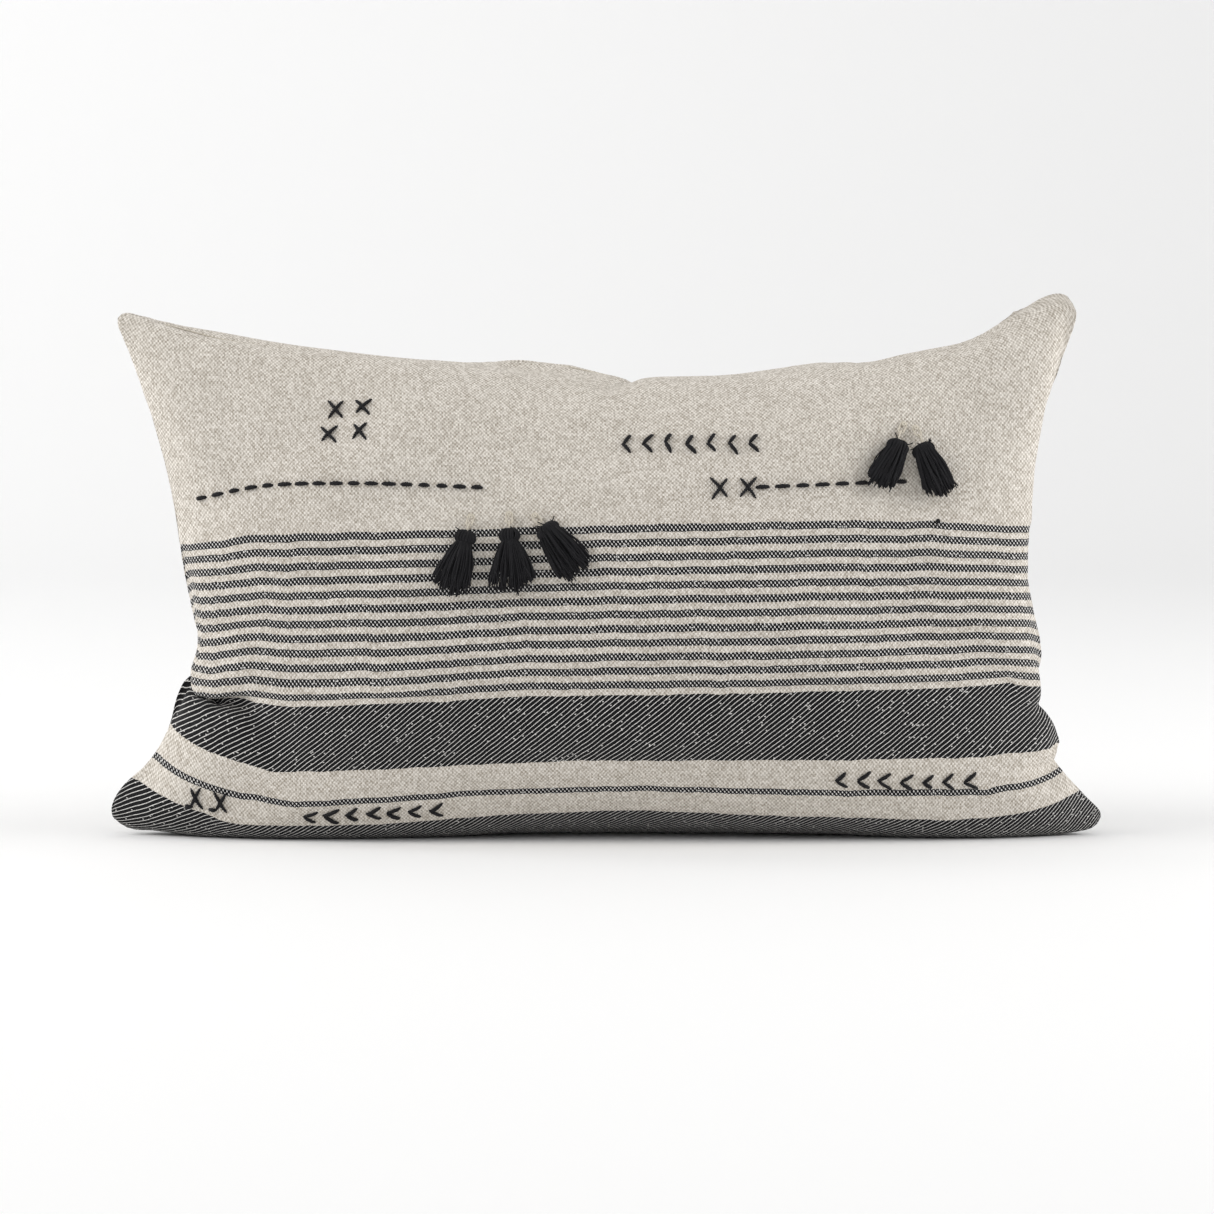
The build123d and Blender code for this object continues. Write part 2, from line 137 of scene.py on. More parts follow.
# ---- the stuffing ----
# The filling's outline, as (x, z).
INSERT_LEFT = [(-294, 4), (-262, 60), (-244, 115), (-252, 180), (-271, 250), (-288, 313)]
INSERT_RIGHT = [(294, 2), (268, 52), (256, 112), (251, 170), (257, 235), (279, 321)]
INSERT_TOP = [
    (-288, 313), (-220, 299), (-120, 286), (0, 274), (70, 274.5), (120, 281.5), (165, 285.5), (215, 294),
    (279, 321),
]
INSERT_BOTTOM = -5.0

# Where woven lines run across the stuffed front: height on the cut, then (x, z).
WOVEN_LINES = {
    217: [(-256, 172), (-210, 182), (-86, 186), (19, 189), (119, 191), (194, 190), (253, 184)],
    155.3: [(-242, 116), (-228, 119), (-211, 122), (-187, 122), (-138, 124)],
    138.3: [(-238, 99), (-228, 102), (-211, 106), (-187, 104), (-138, 108)],
    123.6: [(-234, 86), (-211, 90), (-187, 86), (-106, 93)],
    115: [(-205, 83), (-184, 81), (-134, 85), (-62, 89), (5, 91), (107, 93), (242, 94)],
    74: [(-241, 56), (-197, 42), (-119, 46), (-16, 52), (107, 51), (225, 51), (265, 53)],
    53.6: [(-241, 33), (-182, 22), (-135, 26), (-63, 32), (20, 34), (107, 31), (226, 28)],
    36: [(-230, 9), (-135, 10), (-63, 16), (5, 19), (108, 15), (210, 12)],
}
# Folds on the cut: two ends, how far the cloth sinks there (below 0 it stands out), half width.
FOLDS = [
    ((0, 109), (66, 112), 42, 5),
    ((4, 122), (70, 122), -14, 7),
    ((4, 97), (46, 99), -9, 7),
    ((68, 113), (104, 94), 8, 7),
    ((0, 53), (26, 36), 14, 5),
    ((0, 40), (20, 24), -5, 7),
    ((610, 103), (560, 94), 18, 6),
    ((610, 85), (580, 84), -5, 6),
    ((610, 61), (574, 58), 12, 5),
    ((610, 184), (588, 182), 10, 6),
    ((334, 356), (314, 328), 22, 9),
    ((290, 352), (300, 330), -4, 10),
    ((262, 356), (276, 322), 6, 10),
    ((482, 356), (468, 338), 14, 6),
    ((548, 352), (528, 334), 9, 8),
    ((505, 350), (500, 330), -4, 9),
    ((45, 356), (60, 322), 4, 10),
]
# The back panel's share in the folds near the top, and from what height.
BACK_FOLDS, BACK_FOLDS_FROM, BACK_FOLDS_RAMP = 0.9, 318, 10
# The share of its depth that a fold loses at its second end.
FOLD_FADE = 0.7
# Lumps of the filling: wave lengths across and up, a shift, and a height.
LUMPS = [(210, 150, 0.4, 1.6), (130, 190, 2.1, 1.3), (92, 84, 4.0, 0.9), (61, 120, 1.2, 0.6)]
LUMP_WARP, BACK_LUMP_SHIFT = 1.7, 80

# The cloth's stiffness in bending, on the bias and when pushed together.
BEND, SHEAR, SQUEEZE = 0.25, 0.12, 0.04
# The speed that a step keeps, and the filling's excess, its give and its strongest pull back.
DRAG, OVERFILL, SOFTNESS, MOST_PULL = 0.95, 5.0, 8.0, -4.0
# How firmly seams and woven lines are guided, and the seams' share across their plane.
SEAM_PULL, LINE_PULL, SEAM_OUT_SHARE = 0.25, 0.05, 0.4
# The solver's levels: grid cells, steps, and how hard the filling pushes.
LEVELS = [
    ((30, 18), 500, 0.1), ((60, 36), 500, 0.03), ((120, 72), 600, 0.01), ((240, 144), 220, 0.004),
]


def fill_depth(x, z, full):
    """How far the insert stands in front of or behind the seam plane."""
    left, right, top = np.array(INSERT_LEFT), np.array(INSERT_RIGHT), np.array(INSERT_TOP)
    low = np.interp(z, left[:, 1], left[:, 0])
    high = np.interp(z, right[:, 1], right[:, 0])
    crest = np.interp(x, top[:, 0], top[:, 1])
    s = np.clip((x - low) / (high - low), 0, 1)
    t = np.clip((z - INSERT_BOTTOM) / (crest - INSERT_BOTTOM), 0, 1) ** (1 / BELLY_EXPONENT)
    return full * np.sqrt(1 - (2 * s - 1) ** 2) * np.sqrt(1 - (2 * t - 1) ** 2)


def fold_depth(u, v):
    """How far the folds sink the cloth at places on the cut."""
    sink = np.zeros_like(u)
    for (u0, v0), (u1, v1), depth, width in FOLDS:
        du, dv = u1 - u0, v1 - v0
        t = np.clip(((u - u0) * du + (v - v0) * dv) / (du * du + dv * dv), 0, 1)
        away = np.hypot(u - u0 - t * du, v - v0 - t * dv)
        sink += depth * (1 - FOLD_FADE * t) * np.exp(-((away / width) ** 2))
    return sink


def lump_height(x, z):
    """How far the uneven filling stands out at a place."""
    height = np.zeros_like(x)
    for across, up, shift, size in LUMPS:
        warp = LUMP_WARP * np.sin(2 * math.pi * z / up + shift)
        height += size * np.sin(2 * math.pi * x / across + shift + warp)
    return height


class Cloth:
    """Two woven panels on one grid, as points[side, up, across]; side 0 is the front."""

    def __init__(self, cells, points=None):
        across, up = cells
        self.u = np.linspace(0, PANEL_WIDTH, across + 1)
        self.v = np.linspace(0, PANEL_HEIGHT, up + 1)
        self.du, self.dv = self.u[1], self.v[1]
        self.left = seam_line(LEFT_SEAM, self.v)
        self.right = seam_line(RIGHT_SEAM, self.v)
        self.top = seam_line(TOP_SEAM, self.u)
        self.top[:, 1] -= np.interp(self.u, *np.array(TOP_ROLL, float).T)
        self.right[:, 1] -= np.interp(self.v, *np.array(RIGHT_ROLL, float).T)
        self.bottom = bottom_line(self.u)
        self.sink = fold_depth(*np.meshgrid(self.u, self.v))
        near_top = np.clip((self.v - BACK_FOLDS_FROM) / BACK_FOLDS_RAMP, 0, 1)[:, None]
        self.back_sink = BACK_FOLDS * near_top * self.sink
        self.heavy = 1 / (1 + np.abs(np.stack([self.sink, self.back_sink])))[..., None]
        self.points = self.first_guess() if points is None else points
        self.lines = [self.line_target(height, known) for height, known in WOVEN_LINES.items()]

    def first_guess(self):
        """Panels that span the seams smoothly and swell by the filling's depth."""
        s = (self.u / PANEL_WIDTH)[None, :, None]
        t = (self.v / PANEL_HEIGHT)[:, None, None]
        left, right = self.left[:, None], self.right[:, None]
        bottom, top = self.bottom[None], self.top[None]
        corners = (
            (1 - s) * (1 - t) * left[:1] + s * (1 - t) * right[:1]
            + (1 - s) * t * left[-1:] + s * t * right[-1:]
        )
        middle = (1 - t) * bottom + t * top + (1 - s) * left + s * right - corners
        points = np.stack([middle, middle])
        for side, full, way in ((0, FRONT_DEPTH, -1), (1, BACK_DEPTH, 1)):
            points[side, ..., 1] += way * fill_depth(middle[..., 0], middle[..., 2], full)
        return points

    def line_target(self, height, known):
        """The grid row nearest a woven line, its height above it, and where the line runs."""
        row = int(round(height / self.dv))
        x, z = np.array(known, float).T
        return row, self.v[row] - height, x, z

    def coarser(self):
        """The same cloth on a grid half as fine."""
        return Cloth(((len(self.u) - 1) // 2, (len(self.v) - 1) // 2), self.points[:, ::2, ::2].copy())

    def finer(self):
        """The same cloth on a grid twice as fine."""
        cells = (2 * (len(self.u) - 1), 2 * (len(self.v) - 1))
        return Cloth(cells, refine(refine(self.points, 1), 2))

    def threads(self):
        """Pairs of grid slices joined by a thread, with its length and stiffness."""
        p, diagonal = self.points, math.hypot(self.du, self.dv)
        for start in (0, 1):
            low, high = p[:, start:-1:2], p[:, start + 1::2]
            yield p[:, :, start:-1:2], p[:, :, start + 1::2], self.du, 1.0
            yield low, high, self.dv, 1.0
            yield low[:, :, :-1], high[:, :, 1:], diagonal, SHEAR
            yield low[:, :, 1:], high[:, :, :-1], diagonal, SHEAR

    def stiffen(self):
        """Flattens sharp bends and leaves wide curves alone."""
        bend = unevenness(unevenness(self.points))
        normal = self.normals()
        along = np.einsum("...k,...k->...", bend, normal)[..., None]
        self.points -= BEND * self.heavy * along * normal

    def normals(self):
        """Directions square to the cloth, out of the pillow."""
        across = np.gradient(self.points, axis=2)
        up = np.gradient(self.points, axis=1)
        normal = np.cross(across, up)
        normal[1] *= -1
        length = np.linalg.norm(normal, axis=-1, keepdims=True)
        return normal / np.maximum(length, 1e-6)

    def push(self, strength):
        """One step's push of the filling on the cloth."""
        p = self.points
        away = p[..., 1] - SEAM_Y - p[..., 2] * LEAN
        x, z = p[..., 0], p[..., 2]
        front = fill_depth(x[0], z[0], FRONT_DEPTH) - self.sink + away[0]
        back = fill_depth(x[1], z[1], BACK_DEPTH) - self.back_sink - away[1]
        lumps = lump_height(x[0], z[0]), lump_height(x[1] + BACK_LUMP_SHIFT, z[1])
        room = np.stack([front + lumps[0], back + lumps[1]])
        need = np.clip((room + OVERFILL) / SOFTNESS, MOST_PULL, 1.0)
        return strength * need[..., None] * self.normals()

    def hold(self):
        """Holds the seams, the opening and the woven lines, and keeps the cloth off the floor."""
        p = self.points
        seams = (p[:, :, 0], self.left), (p[:, :, -1], self.right), (p[:, -1], self.top)
        for part, target in seams:
            joined = part.mean(axis=0)
            pull = SEAM_PULL * (target - joined)
            pull[:, 1] *= SEAM_OUT_SHARE
            part[:] = joined + pull
        inside = (OPENING_HALF - np.abs(self.bottom[:, 0])) / OPENING_EASE
        gap = OPENING_GAP * np.sqrt(np.clip(inside, 0, 1))
        p[:, 0] = self.bottom
        p[0, 0, :, 1] -= gap
        p[1, 0, :, 1] += gap
        for row, above, x, z in self.lines:
            line = p[0, row]
            pull = LINE_PULL * (np.interp(line[:, 0], x, z) + above - line[:, 2])
            line[:, 2] += np.where((line[:, 0] > x[0]) & (line[:, 0] < x[-1]), pull, 0)
        np.maximum(p[..., 2], FLOOR_GAP, out=p[..., 2])

    def settle(self, steps, strength):
        """Lets the cloth move under the filling's push until it rests."""
        speed = np.zeros_like(self.points)
        for _ in range(steps):
            before = self.points.copy()
            self.points += DRAG * speed + self.push(strength)
            for one, other, length, stiffness in self.threads():
                draw_together(one, other, length, stiffness)
            self.stiffen()
            self.hold()
            speed = self.points - before


def unevenness(points):
    """How far each point lies from the middle of its four neighbours."""
    out = np.zeros_like(points)
    inner = points[:, 1:-1, 1:-1]
    across = points[:, 1:-1, :-2] + points[:, 1:-1, 2:]
    up = points[:, :-2, 1:-1] + points[:, 2:, 1:-1]
    out[:, 1:-1, 1:-1] = (across + up) / 4 - inner
    return out


def draw_together(one, other, length, stiffness):
    """Moves both ends of each thread towards its length, gently where it is short."""
    gap = other - one
    now = np.sqrt(np.einsum("...k,...k->...", gap, gap)) + 1e-9
    share = (now - length) / now * (0.5 * stiffness)
    share = np.where(share < 0, share * SQUEEZE, share)[..., None]
    gap *= share
    one += gap
    other -= gap


def refine(points, axis):
    """Doubles the grid along an axis with four-point midpoints."""
    p = np.moveaxis(points, axis, 0)
    first, last = 2 * p[:1] - p[1:2], 2 * p[-1:] - p[-2:-1]
    wide = np.concatenate([first, p, last])
    middle = (9 * (wide[1:-2] + wide[2:-1]) - wide[:-3] - wide[3:]) / 16
    out = np.empty((2 * len(p) - 1, *p.shape[1:]))
    out[::2], out[1::2] = p, middle
    return np.moveaxis(out, 0, axis)


def stuffed_cover():
    """The cover's two panels, sewn, stuffed and settled from coarse to fine."""
    cloth = Cloth(LEVELS[0][0])
    for number, (_, steps, strength) in enumerate(LEVELS):
        if number:
            cloth = cloth.finer()
        cloth.settle(steps, strength)
    return cloth


# ---- edges and anchor points ----
CORNER_RADIUS, SEAM_SINK = 18.0, 0.5
# The ridge beside a seam.
RIDGE, RIDGE_AT, RIDGE_WIDTH = 0.5, 3.5, 2.5
# Puckers beside a seam: height, reach, two wave lengths over 2 pi, and their unevenness.
PUCKER, PUCKER_REACH, PUCKER_WAVES, PUCKER_WARP = 0.2, 5.0, (1.9, 3.7), (2.2, 13.0)
EASE_REACH, EASE_PASSES = 55.0, 4


def finish_edges(cloth):
    """Rounds the corners, sinks the sewn seam and puckers the cloth beside it."""
    u, v = np.meshgrid(cloth.u, cloth.v)
    across = np.gradient(cloth.points, cloth.du, axis=2)
    up = np.gradient(cloth.points, cloth.dv, axis=1)
    a = np.clip(1 - np.minimum(u, PANEL_WIDTH - u) / CORNER_RADIUS, 0, 1)
    b = np.clip(1 - np.minimum(v, PANEL_HEIGHT - v) / CORNER_RADIUS, 0, 1)
    outward_u, outward_v = np.sign(u - PANEL_WIDTH / 2), np.sign(v - PANEL_HEIGHT / 2)
    shift_u = (a * np.sqrt(1 - b * b / 2) - a) * CORNER_RADIUS * outward_u
    shift_v = (b * np.sqrt(1 - a * a / 2) - b) * CORNER_RADIUS * outward_v
    cloth.points += shift_u[..., None] * across + shift_v[..., None] * up
    edge = np.minimum(np.minimum(u, PANEL_WIDTH - u), PANEL_HEIGHT - v)
    along = np.where(edge == PANEL_HEIGHT - v, u, v)
    (short, long), (sway, every) = PUCKER_WAVES, PUCKER_WARP
    ripple = np.sin(along / short + sway * np.sin(along / every)) + 0.6 * np.sin(along / long + 1.1)
    pucker = PUCKER * ripple * np.exp(-edge / PUCKER_REACH) * (edge > 0)
    ridge = RIDGE * np.exp(-(((edge - RIDGE_AT) / RIDGE_WIDTH) ** 2)) - SEAM_SINK * (edge == 0)
    normal = cloth.normals()
    for part in (normal[:, :, 0], normal[:, :, -1], normal[:, -1]):
        part[:] = part.mean(axis=0)
    cloth.points += (pucker + ridge)[..., None] * normal


def meet_anchors(cloth):
    """Eases the front panel onto the points that the tassels are sewn to."""
    spots = [TasselFrame(number).origin for number in TASSEL_SHAPES]
    panel = cloth.points[0]
    for _ in range(EASE_PASSES):
        for spot in spots:
            away = np.hypot(panel[..., 0] - spot[0], panel[..., 2] - spot[2])
            near = np.unravel_index(np.argmin(away), away.shape)
            gap = spot[1] - panel[near][1]
            panel[..., 1] += gap * np.exp(-((away / EASE_REACH) ** 2))


# ---- camera, floor and lights, in metres ----
CAMERA_TARGET = Vector((0, -0.02, 0.138))
CAMERA_DISTANCE, CAMERA_RISE = 2.4, math.radians(4)
CAMERA_LENS, CAMERA_SENSOR = 119.8, 36.0
FLOOR_NEAR, FLOOR_FAR, WALL_TOP, FLOOR_HALF = -6.0, 2.5, 7.0, 8.0
SWEEP_RADIUS, SWEEP_STEPS = 1.5, 12
# Name, place, aim, size, watts and warmth.
LIGHTS = [
    ("key", (-2.8, -0.8, 1.8), CAMERA_TARGET, 2.0, 50, 0.3),
    ("side", (2.4, -0.4, 1.0), CAMERA_TARGET, 1.6, 31, 0.2),
    ("wall_wash", (-3.2, 1.2, 2.6), (-0.4, 4.0, 1.2), 2.0, 34, 0.0),
]
# What full warmth takes from red, green and blue.
WARM_LIGHT = (0.0, 0.03, 0.07)
WORLD_STRENGTH = 0.62


def aimed(spot, target):
    """The matrix of a camera or light that looks from a spot at a target."""
    turn = (Vector(target) - Vector(spot)).to_track_quat("-Z", "Y")
    return Matrix.LocRotScale(Vector(spot), turn, Vector((1, 1, 1)))


def add_object(name, data):
    thing = bpy.data.objects.new(name, data)
    bpy.context.collection.objects.link(thing)
    return thing


def make_camera():
    data = bpy.data.cameras.new("camera")
    data.lens, data.sensor_width = CAMERA_LENS, CAMERA_SENSOR
    camera = add_object("camera", data)
    back = Vector((0, -math.cos(CAMERA_RISE), math.sin(CAMERA_RISE)))
    camera.matrix_world = aimed(CAMERA_TARGET + CAMERA_DISTANCE * back, CAMERA_TARGET)
    bpy.context.scene.camera = camera


def make_light(name, spot, target, size, watts, warmth):
    data = bpy.data.lights.new(name, "AREA")
    data.shape, data.size = "DISK", size
    data.energy = watts
    data.color = tuple(1.0 - share * warmth for share in WARM_LIGHT)
    add_object(name, data).matrix_world = aimed(spot, target)


def make_stage():
    """A pale sweep: a floor, a round bend and a far wall."""
    turns = [step / SWEEP_STEPS * math.pi / 2 for step in range(SWEEP_STEPS + 1)]
    bend = [(FLOOR_FAR + SWEEP_RADIUS * math.sin(t), SWEEP_RADIUS * (1 - math.cos(t))) for t in turns]
    profile = [(FLOOR_NEAR, 0.0), *bend, (FLOOR_FAR + SWEEP_RADIUS, WALL_TOP)]
    points = [(x, y, z) for y, z in profile for x in (-FLOOR_HALF, FLOOR_HALF)]
    faces = [(2 * i, 2 * i + 1, 2 * i + 3, 2 * i + 2) for i in range(len(profile) - 1)]
    mesh = bpy.data.meshes.new("floor")
    mesh.from_pydata(points, [], faces)
    mesh.polygons.foreach_set("use_smooth", [True] * len(faces))
    mesh.materials.append(new_material("pale_paper", 0.95, colour=(0.95, 0.95, 0.95, 1), gloss=0.1)[0])
    add_object("floor", mesh)


def make_studio():
    make_camera()
    make_stage()
    world = bpy.data.worlds.new("studio")
    world.use_nodes = True
    background = world.node_tree.nodes["Background"].inputs
    background["Color"].default_value = (1.0, 1.0, 1.0, 1)
    background["Strength"].default_value = WORLD_STRENGTH
    bpy.context.scene.world = world
    bpy.context.scene.view_settings.view_transform = "Standard"
    for light in LIGHTS:
        make_light(*light)


# ---- patterns in nodes ----
def operation(name):
    """A method that adds one arithmetic node to a material."""
    return lambda field, *others: field.math(name, *others)


class Field:
    """A value inside a material, so that patterns read as arithmetic."""

    def __init__(self, tree, socket):
        self.tree, self.socket = tree, socket

    def math(self, operation, *others, clamp=False):
        node = self.tree.nodes.new("ShaderNodeMath")
        node.operation, node.use_clamp = operation, clamp
        for slot, value in zip(node.inputs, (self, *others)):
            connect(self.tree, value, slot)
        return Field(self.tree, node.outputs[0])

    __add__ = operation("ADD")
    __sub__ = operation("SUBTRACT")
    __mul__ = operation("MULTIPLY")
    __truediv__ = operation("DIVIDE")
    __mod__ = operation("FLOORED_MODULO")
    floor = operation("FLOOR")
    below = operation("LESS_THAN")
    above = operation("GREATER_THAN")

    def clamped(self):
        return self.math("ADD", 0.0, clamp=True)

    def hump(self, period):
        """A rounded thread profile, 0 at each thread's sides and 1 along its middle."""
        return (self * (math.pi / period)).math("SINE").math("ABSOLUTE")


def connect(tree, value, slot):
    if isinstance(value, Field):
        tree.links.new(value.socket, slot)
    else:
        slot.default_value = value


def blended(tree, share, dark, light):
    """A colour from dark to light by a share."""
    node = tree.nodes.new("ShaderNodeMix")
    node.data_type = "RGBA"
    connect(tree, share, node.inputs["Factor"])
    connect(tree, dark, node.inputs["A"])
    connect(tree, light, node.inputs["B"])
    return Field(tree, node.outputs["Result"])


def noise(tree, where, scale, detail=2.0):
    node = tree.nodes.new("ShaderNodeTexNoise")
    connect(tree, where, node.inputs["Vector"])
    node.inputs["Scale"].default_value = scale
    node.inputs["Detail"].default_value = detail
    return Field(tree, node.outputs["Fac"])


def vector(tree, x, y):
    node = tree.nodes.new("ShaderNodeCombineXYZ")
    for slot, value in zip(node.inputs, (x, y)):
        connect(tree, value, slot)
    return Field(tree, node.outputs[0])


def scatter(tree, x, y):
    """A random value for each whole x and y."""
    node = tree.nodes.new("ShaderNodeTexWhiteNoise")
    node.noise_dimensions = "2D"
    connect(tree, vector(tree, x, y), node.inputs["Vector"])
    return Field(tree, node.outputs["Value"])


def band(v, low, high):
    return v.above(low) * v.below(high)


def new_material(name, roughness, sheen=0.0, gloss=0.5, colour=None):
    """A material, its node tree and its shader."""
    material = bpy.data.materials.new(name)
    material.use_nodes = True
    shader = material.node_tree.nodes["Principled BSDF"]
    shader.inputs["Roughness"].default_value = roughness
    shader.inputs["Sheen Weight"].default_value = sheen
    shader.inputs["Specular IOR Level"].default_value = gloss
    if colour:
        shader.inputs["Base Color"].default_value = colour
    return material, material.node_tree, shader


def add_bump(tree, shader, height, strength, distance):
    bump = tree.nodes.new("ShaderNodeBump")
    bump.inputs["Strength"].default_value = strength
    bump.inputs["Distance"].default_value = distance
    connect(tree, height, bump.inputs["Height"])
    tree.links.new(bump.outputs["Normal"], shader.inputs["Normal"])


def split_mm(tree, where):
    """The first two coordinates of a place in metres, as millimetres."""
    split = tree.nodes.new("ShaderNodeSeparateXYZ")
    tree.links.new(where, split.inputs[0])
    return Field(tree, split.outputs[0]) * 1000, Field(tree, split.outputs[1]) * 1000


def cut_place(tree):
    """Where a point lies on the flat cut, in millimetres."""
    uv = tree.nodes.new("ShaderNodeUVMap")
    uv.uv_map = "cut"
    return split_mm(tree, uv.outputs["UV"])


def object_place(tree):
    """Where a point lies on its own piece, in metres."""
    return Field(tree, tree.nodes.new("ShaderNodeTexCoord").outputs["Object"])


# ---- materials ----
# The plain weave's thread pitches, and the dashes that its threads show as.
LIGHT_WARP_PITCH, LIGHT_WEFT_PITCH = 1.15, 1.3
DASH_WIDTH, DASH_HEIGHT = 0.95, 1.6
# Twill of the black bands: slope, pitch, and the pale share.
TWILL_RISE, TWILL_PITCH, TWILL_LINE = 0.8, 2.95, 0.165
# Dots of the black stripes: row height, pitch, pale share, slant, and the dark part of a row.
DOT_ROW, DOT_PITCH, DOT_WIDTH, DOT_SLANT, DOT_START = 1.53, 2.35, 0.3, 0.12, 0.22
# One pick of the black weave, and above what chance it is a pale fleck.
PICK_WIDTH, PICK_HEIGHT, FLECK_FROM = 0.9, 0.72, 0.985
WANDER, RAGGED = 2.4, 1.3
BLACK_WEFT, PALE_WARP = (0.006, 0.006, 0.007, 1), (0.93, 0.91, 0.88, 1)
LIGHT_WEFT, LIGHT_WARP = (0.28, 0.238, 0.183, 1), (0.95, 0.905, 0.84, 1)
CASING_COLOUR, FILL_COLOUR = (0.88, 0.87, 0.84, 1), (0.93, 0.93, 0.92, 1)
CASING_PITCH, TAPE_PITCH = 0.5, 0.9
# The yarn's colours are mixed by fine noise: random fibre tone, and in the lighter colour partly a
# painted sheen on the strands.
YARN_DARK, YARN_LIGHT = (0.002, 0.002, 0.003, 1), (0.016, 0.0155, 0.018, 1)
LINEN, NYLON = (0.62, 0.57, 0.48, 1), (0.72, 0.69, 0.62, 1)
TAPE_DARK, TAPE_LIGHT = (0.47, 0.44, 0.38, 1), (0.68, 0.65, 0.57, 1)
METAL_DARK, METAL_LIGHT = (0.42, 0.42, 0.43, 1), (0.62, 0.62, 0.63, 1)
# Scales of the yarn's noise, which carries fibre tone and painted sheen, and of the metal's wear.
FIBRE_AND_SHEEN_SCALE, WEAR_SCALE = 1600, 900


def woven_cloth():
    """Plain cream weave with black twill bands and dotted black stripes, laid out on the cut."""
    material, tree, shader = new_material("cover_cloth", 0.92, sheen=0.06, gloss=0.2)
    u, v = cut_place(tree)
    wander = noise(tree, vector(tree, u * 0.02, v * 0.004), 3.0)
    v = v + (wander - 0.5) * WANDER
    ragged = noise(tree, vector(tree, u * 0.7, v * 0.3), 1.6, 1.0)
    edge = v + (ragged - 0.5) * RAGGED
    stripes = band(edge, STRIPE_START, STRIPE_START + STRIPE_PITCH * STRIPE_COUNT)
    stripes = stripes * ((edge - STRIPE_START) % STRIPE_PITCH).below(STRIPE_WIDTH)
    lines = (stripes + band(edge, *THIN_LINE)).clamped()
    bands = (band(edge, *WIDE_BAND) + edge.below(BOTTOM_BAND_TOP)).clamped()

    warp, weft = (u / LIGHT_WARP_PITCH).floor(), (v / LIGHT_WEFT_PITCH).floor()
    plain = ((weft + warp) % 2).below(0.5)
    dash = scatter(tree, (u / DASH_WIDTH).floor(), (v / DASH_HEIGHT).floor())
    slub = noise(tree, vector(tree, u * 0.05, v * 0.9), 1.0, 3.0)
    tone = noise(tree, vector(tree, u * 0.012, v * 0.03), 1.0, 2.0)
    share = plain * 0.34 + dash * 0.42 + (slub - 0.5) * 0.2 + (tone - 0.5) * 0.1 + 0.11
    light = blended(tree, share.clamped(), LIGHT_WEFT, LIGHT_WARP)

    twill = (((v - u * TWILL_RISE) / TWILL_PITCH) % 1).below(TWILL_LINE)
    row = (v / DOT_ROW).floor()
    slant = (v / DOT_ROW) % 1
    dots = ((u / DOT_PITCH + row * 0.5 + slant * DOT_SLANT) % 1).below(DOT_WIDTH) * slant.above(DOT_START)
    pick = scatter(tree, (u / PICK_WIDTH).floor(), (v / PICK_HEIGHT).floor())
    fleck = pick.above(FLECK_FROM)
    shown = (twill * bands + dots * lines) * (pick * 0.4 + 0.6) + fleck * 0.6
    shade = blended(tree, shown.clamped(), BLACK_WEFT, PALE_WARP)
    connect(tree, blended(tree, (bands + lines).clamped(), light, shade), shader.inputs["Base Color"])
    plain_relief = plain * u.hump(LIGHT_WARP_PITCH) + (plain * -1.0 + 1.0) * v.hump(LIGHT_WEFT_PITCH)
    add_bump(tree, shader, plain_relief * 0.7 + shown * 0.5 + slub * 0.5, 0.55, 0.0005)
    return material


def plain_cloth(name, colour):
    material, tree, shader = new_material(name, 0.9, sheen=0.1)
    u, v = cut_place(tree)
    weave = u.hump(CASING_PITCH) * v.hump(CASING_PITCH)
    dim = tuple(0.9 * c for c in colour[:3]) + (1,)
    connect(tree, blended(tree, weave, dim, colour), shader.inputs["Base Color"])
    add_bump(tree, shader, weave, 0.3, 0.0002)
    return material


def black_yarn(name, roughness):
    material, tree, shader = new_material(name, roughness, sheen=0.03, gloss=0.2)
    # Fine noise lightens the black in spots: partly random fibre tone, partly a painted sheen that stands
    # in for the strands' highlights.
    fibre_tone_and_sheen = noise(tree, object_place(tree), FIBRE_AND_SHEEN_SCALE, 3.0)
    connect(tree, blended(tree, fibre_tone_and_sheen, YARN_DARK, YARN_LIGHT), shader.inputs["Base Color"])
    add_bump(tree, shader, fibre_tone_and_sheen, 0.4, 0.0002)
    return material


def sewing_thread():
    """Linen thread, for the seams and for what the tassels hang by."""
    return new_material("sewing_thread", 0.6, colour=LINEN)[0]


def zipper_tape():
    material, tree, shader = new_material("zipper_tape", 0.85, sheen=0.1)
    x, y = split_mm(tree, object_place(tree).socket)
    weave = (x + y).hump(TAPE_PITCH) * (x - y).hump(TAPE_PITCH)
    connect(tree, blended(tree, weave, TAPE_DARK, TAPE_LIGHT), shader.inputs["Base Color"])
    add_bump(tree, shader, weave, 0.6, 0.0002)
    return material


def zipper_metal():
    material, tree, shader = new_material("zipper_metal", 0.3)
    wear = noise(tree, object_place(tree), WEAR_SCALE, 3.0)
    connect(tree, blended(tree, wear, METAL_DARK, METAL_LIGHT), shader.inputs["Base Color"])
    connect(tree, wear * 0.25 + 0.2, shader.inputs["Roughness"])
    shader.inputs["Metallic"].default_value = 1.0
    add_bump(tree, shader, wear, 0.15, 0.0001)
    return material


# ---- meshes ----
# Points this near, in metres, are welded into one.
WELD = 1e-5
# How much of a step in depth counts as length on the cloth.
DEPTH_SHARE = 0.3
# A ply's distance from its thread's middle and its size, as shares of the radius.
PLY_OFFSET, PLY_SIZE = 0.5, 0.56
# How near its poles a ball is drawn, as an angle.
BALL_TIP = 0.04


def put(mesh, material, body, replaced=()):
    """Adds a mesh to the scene as a piece that rides on a CAD body."""
    mesh.materials.append(material)
    piece = add_object(mesh.name, mesh)
    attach(piece, body)
    if replaced:
        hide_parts(*replaced)
    return piece


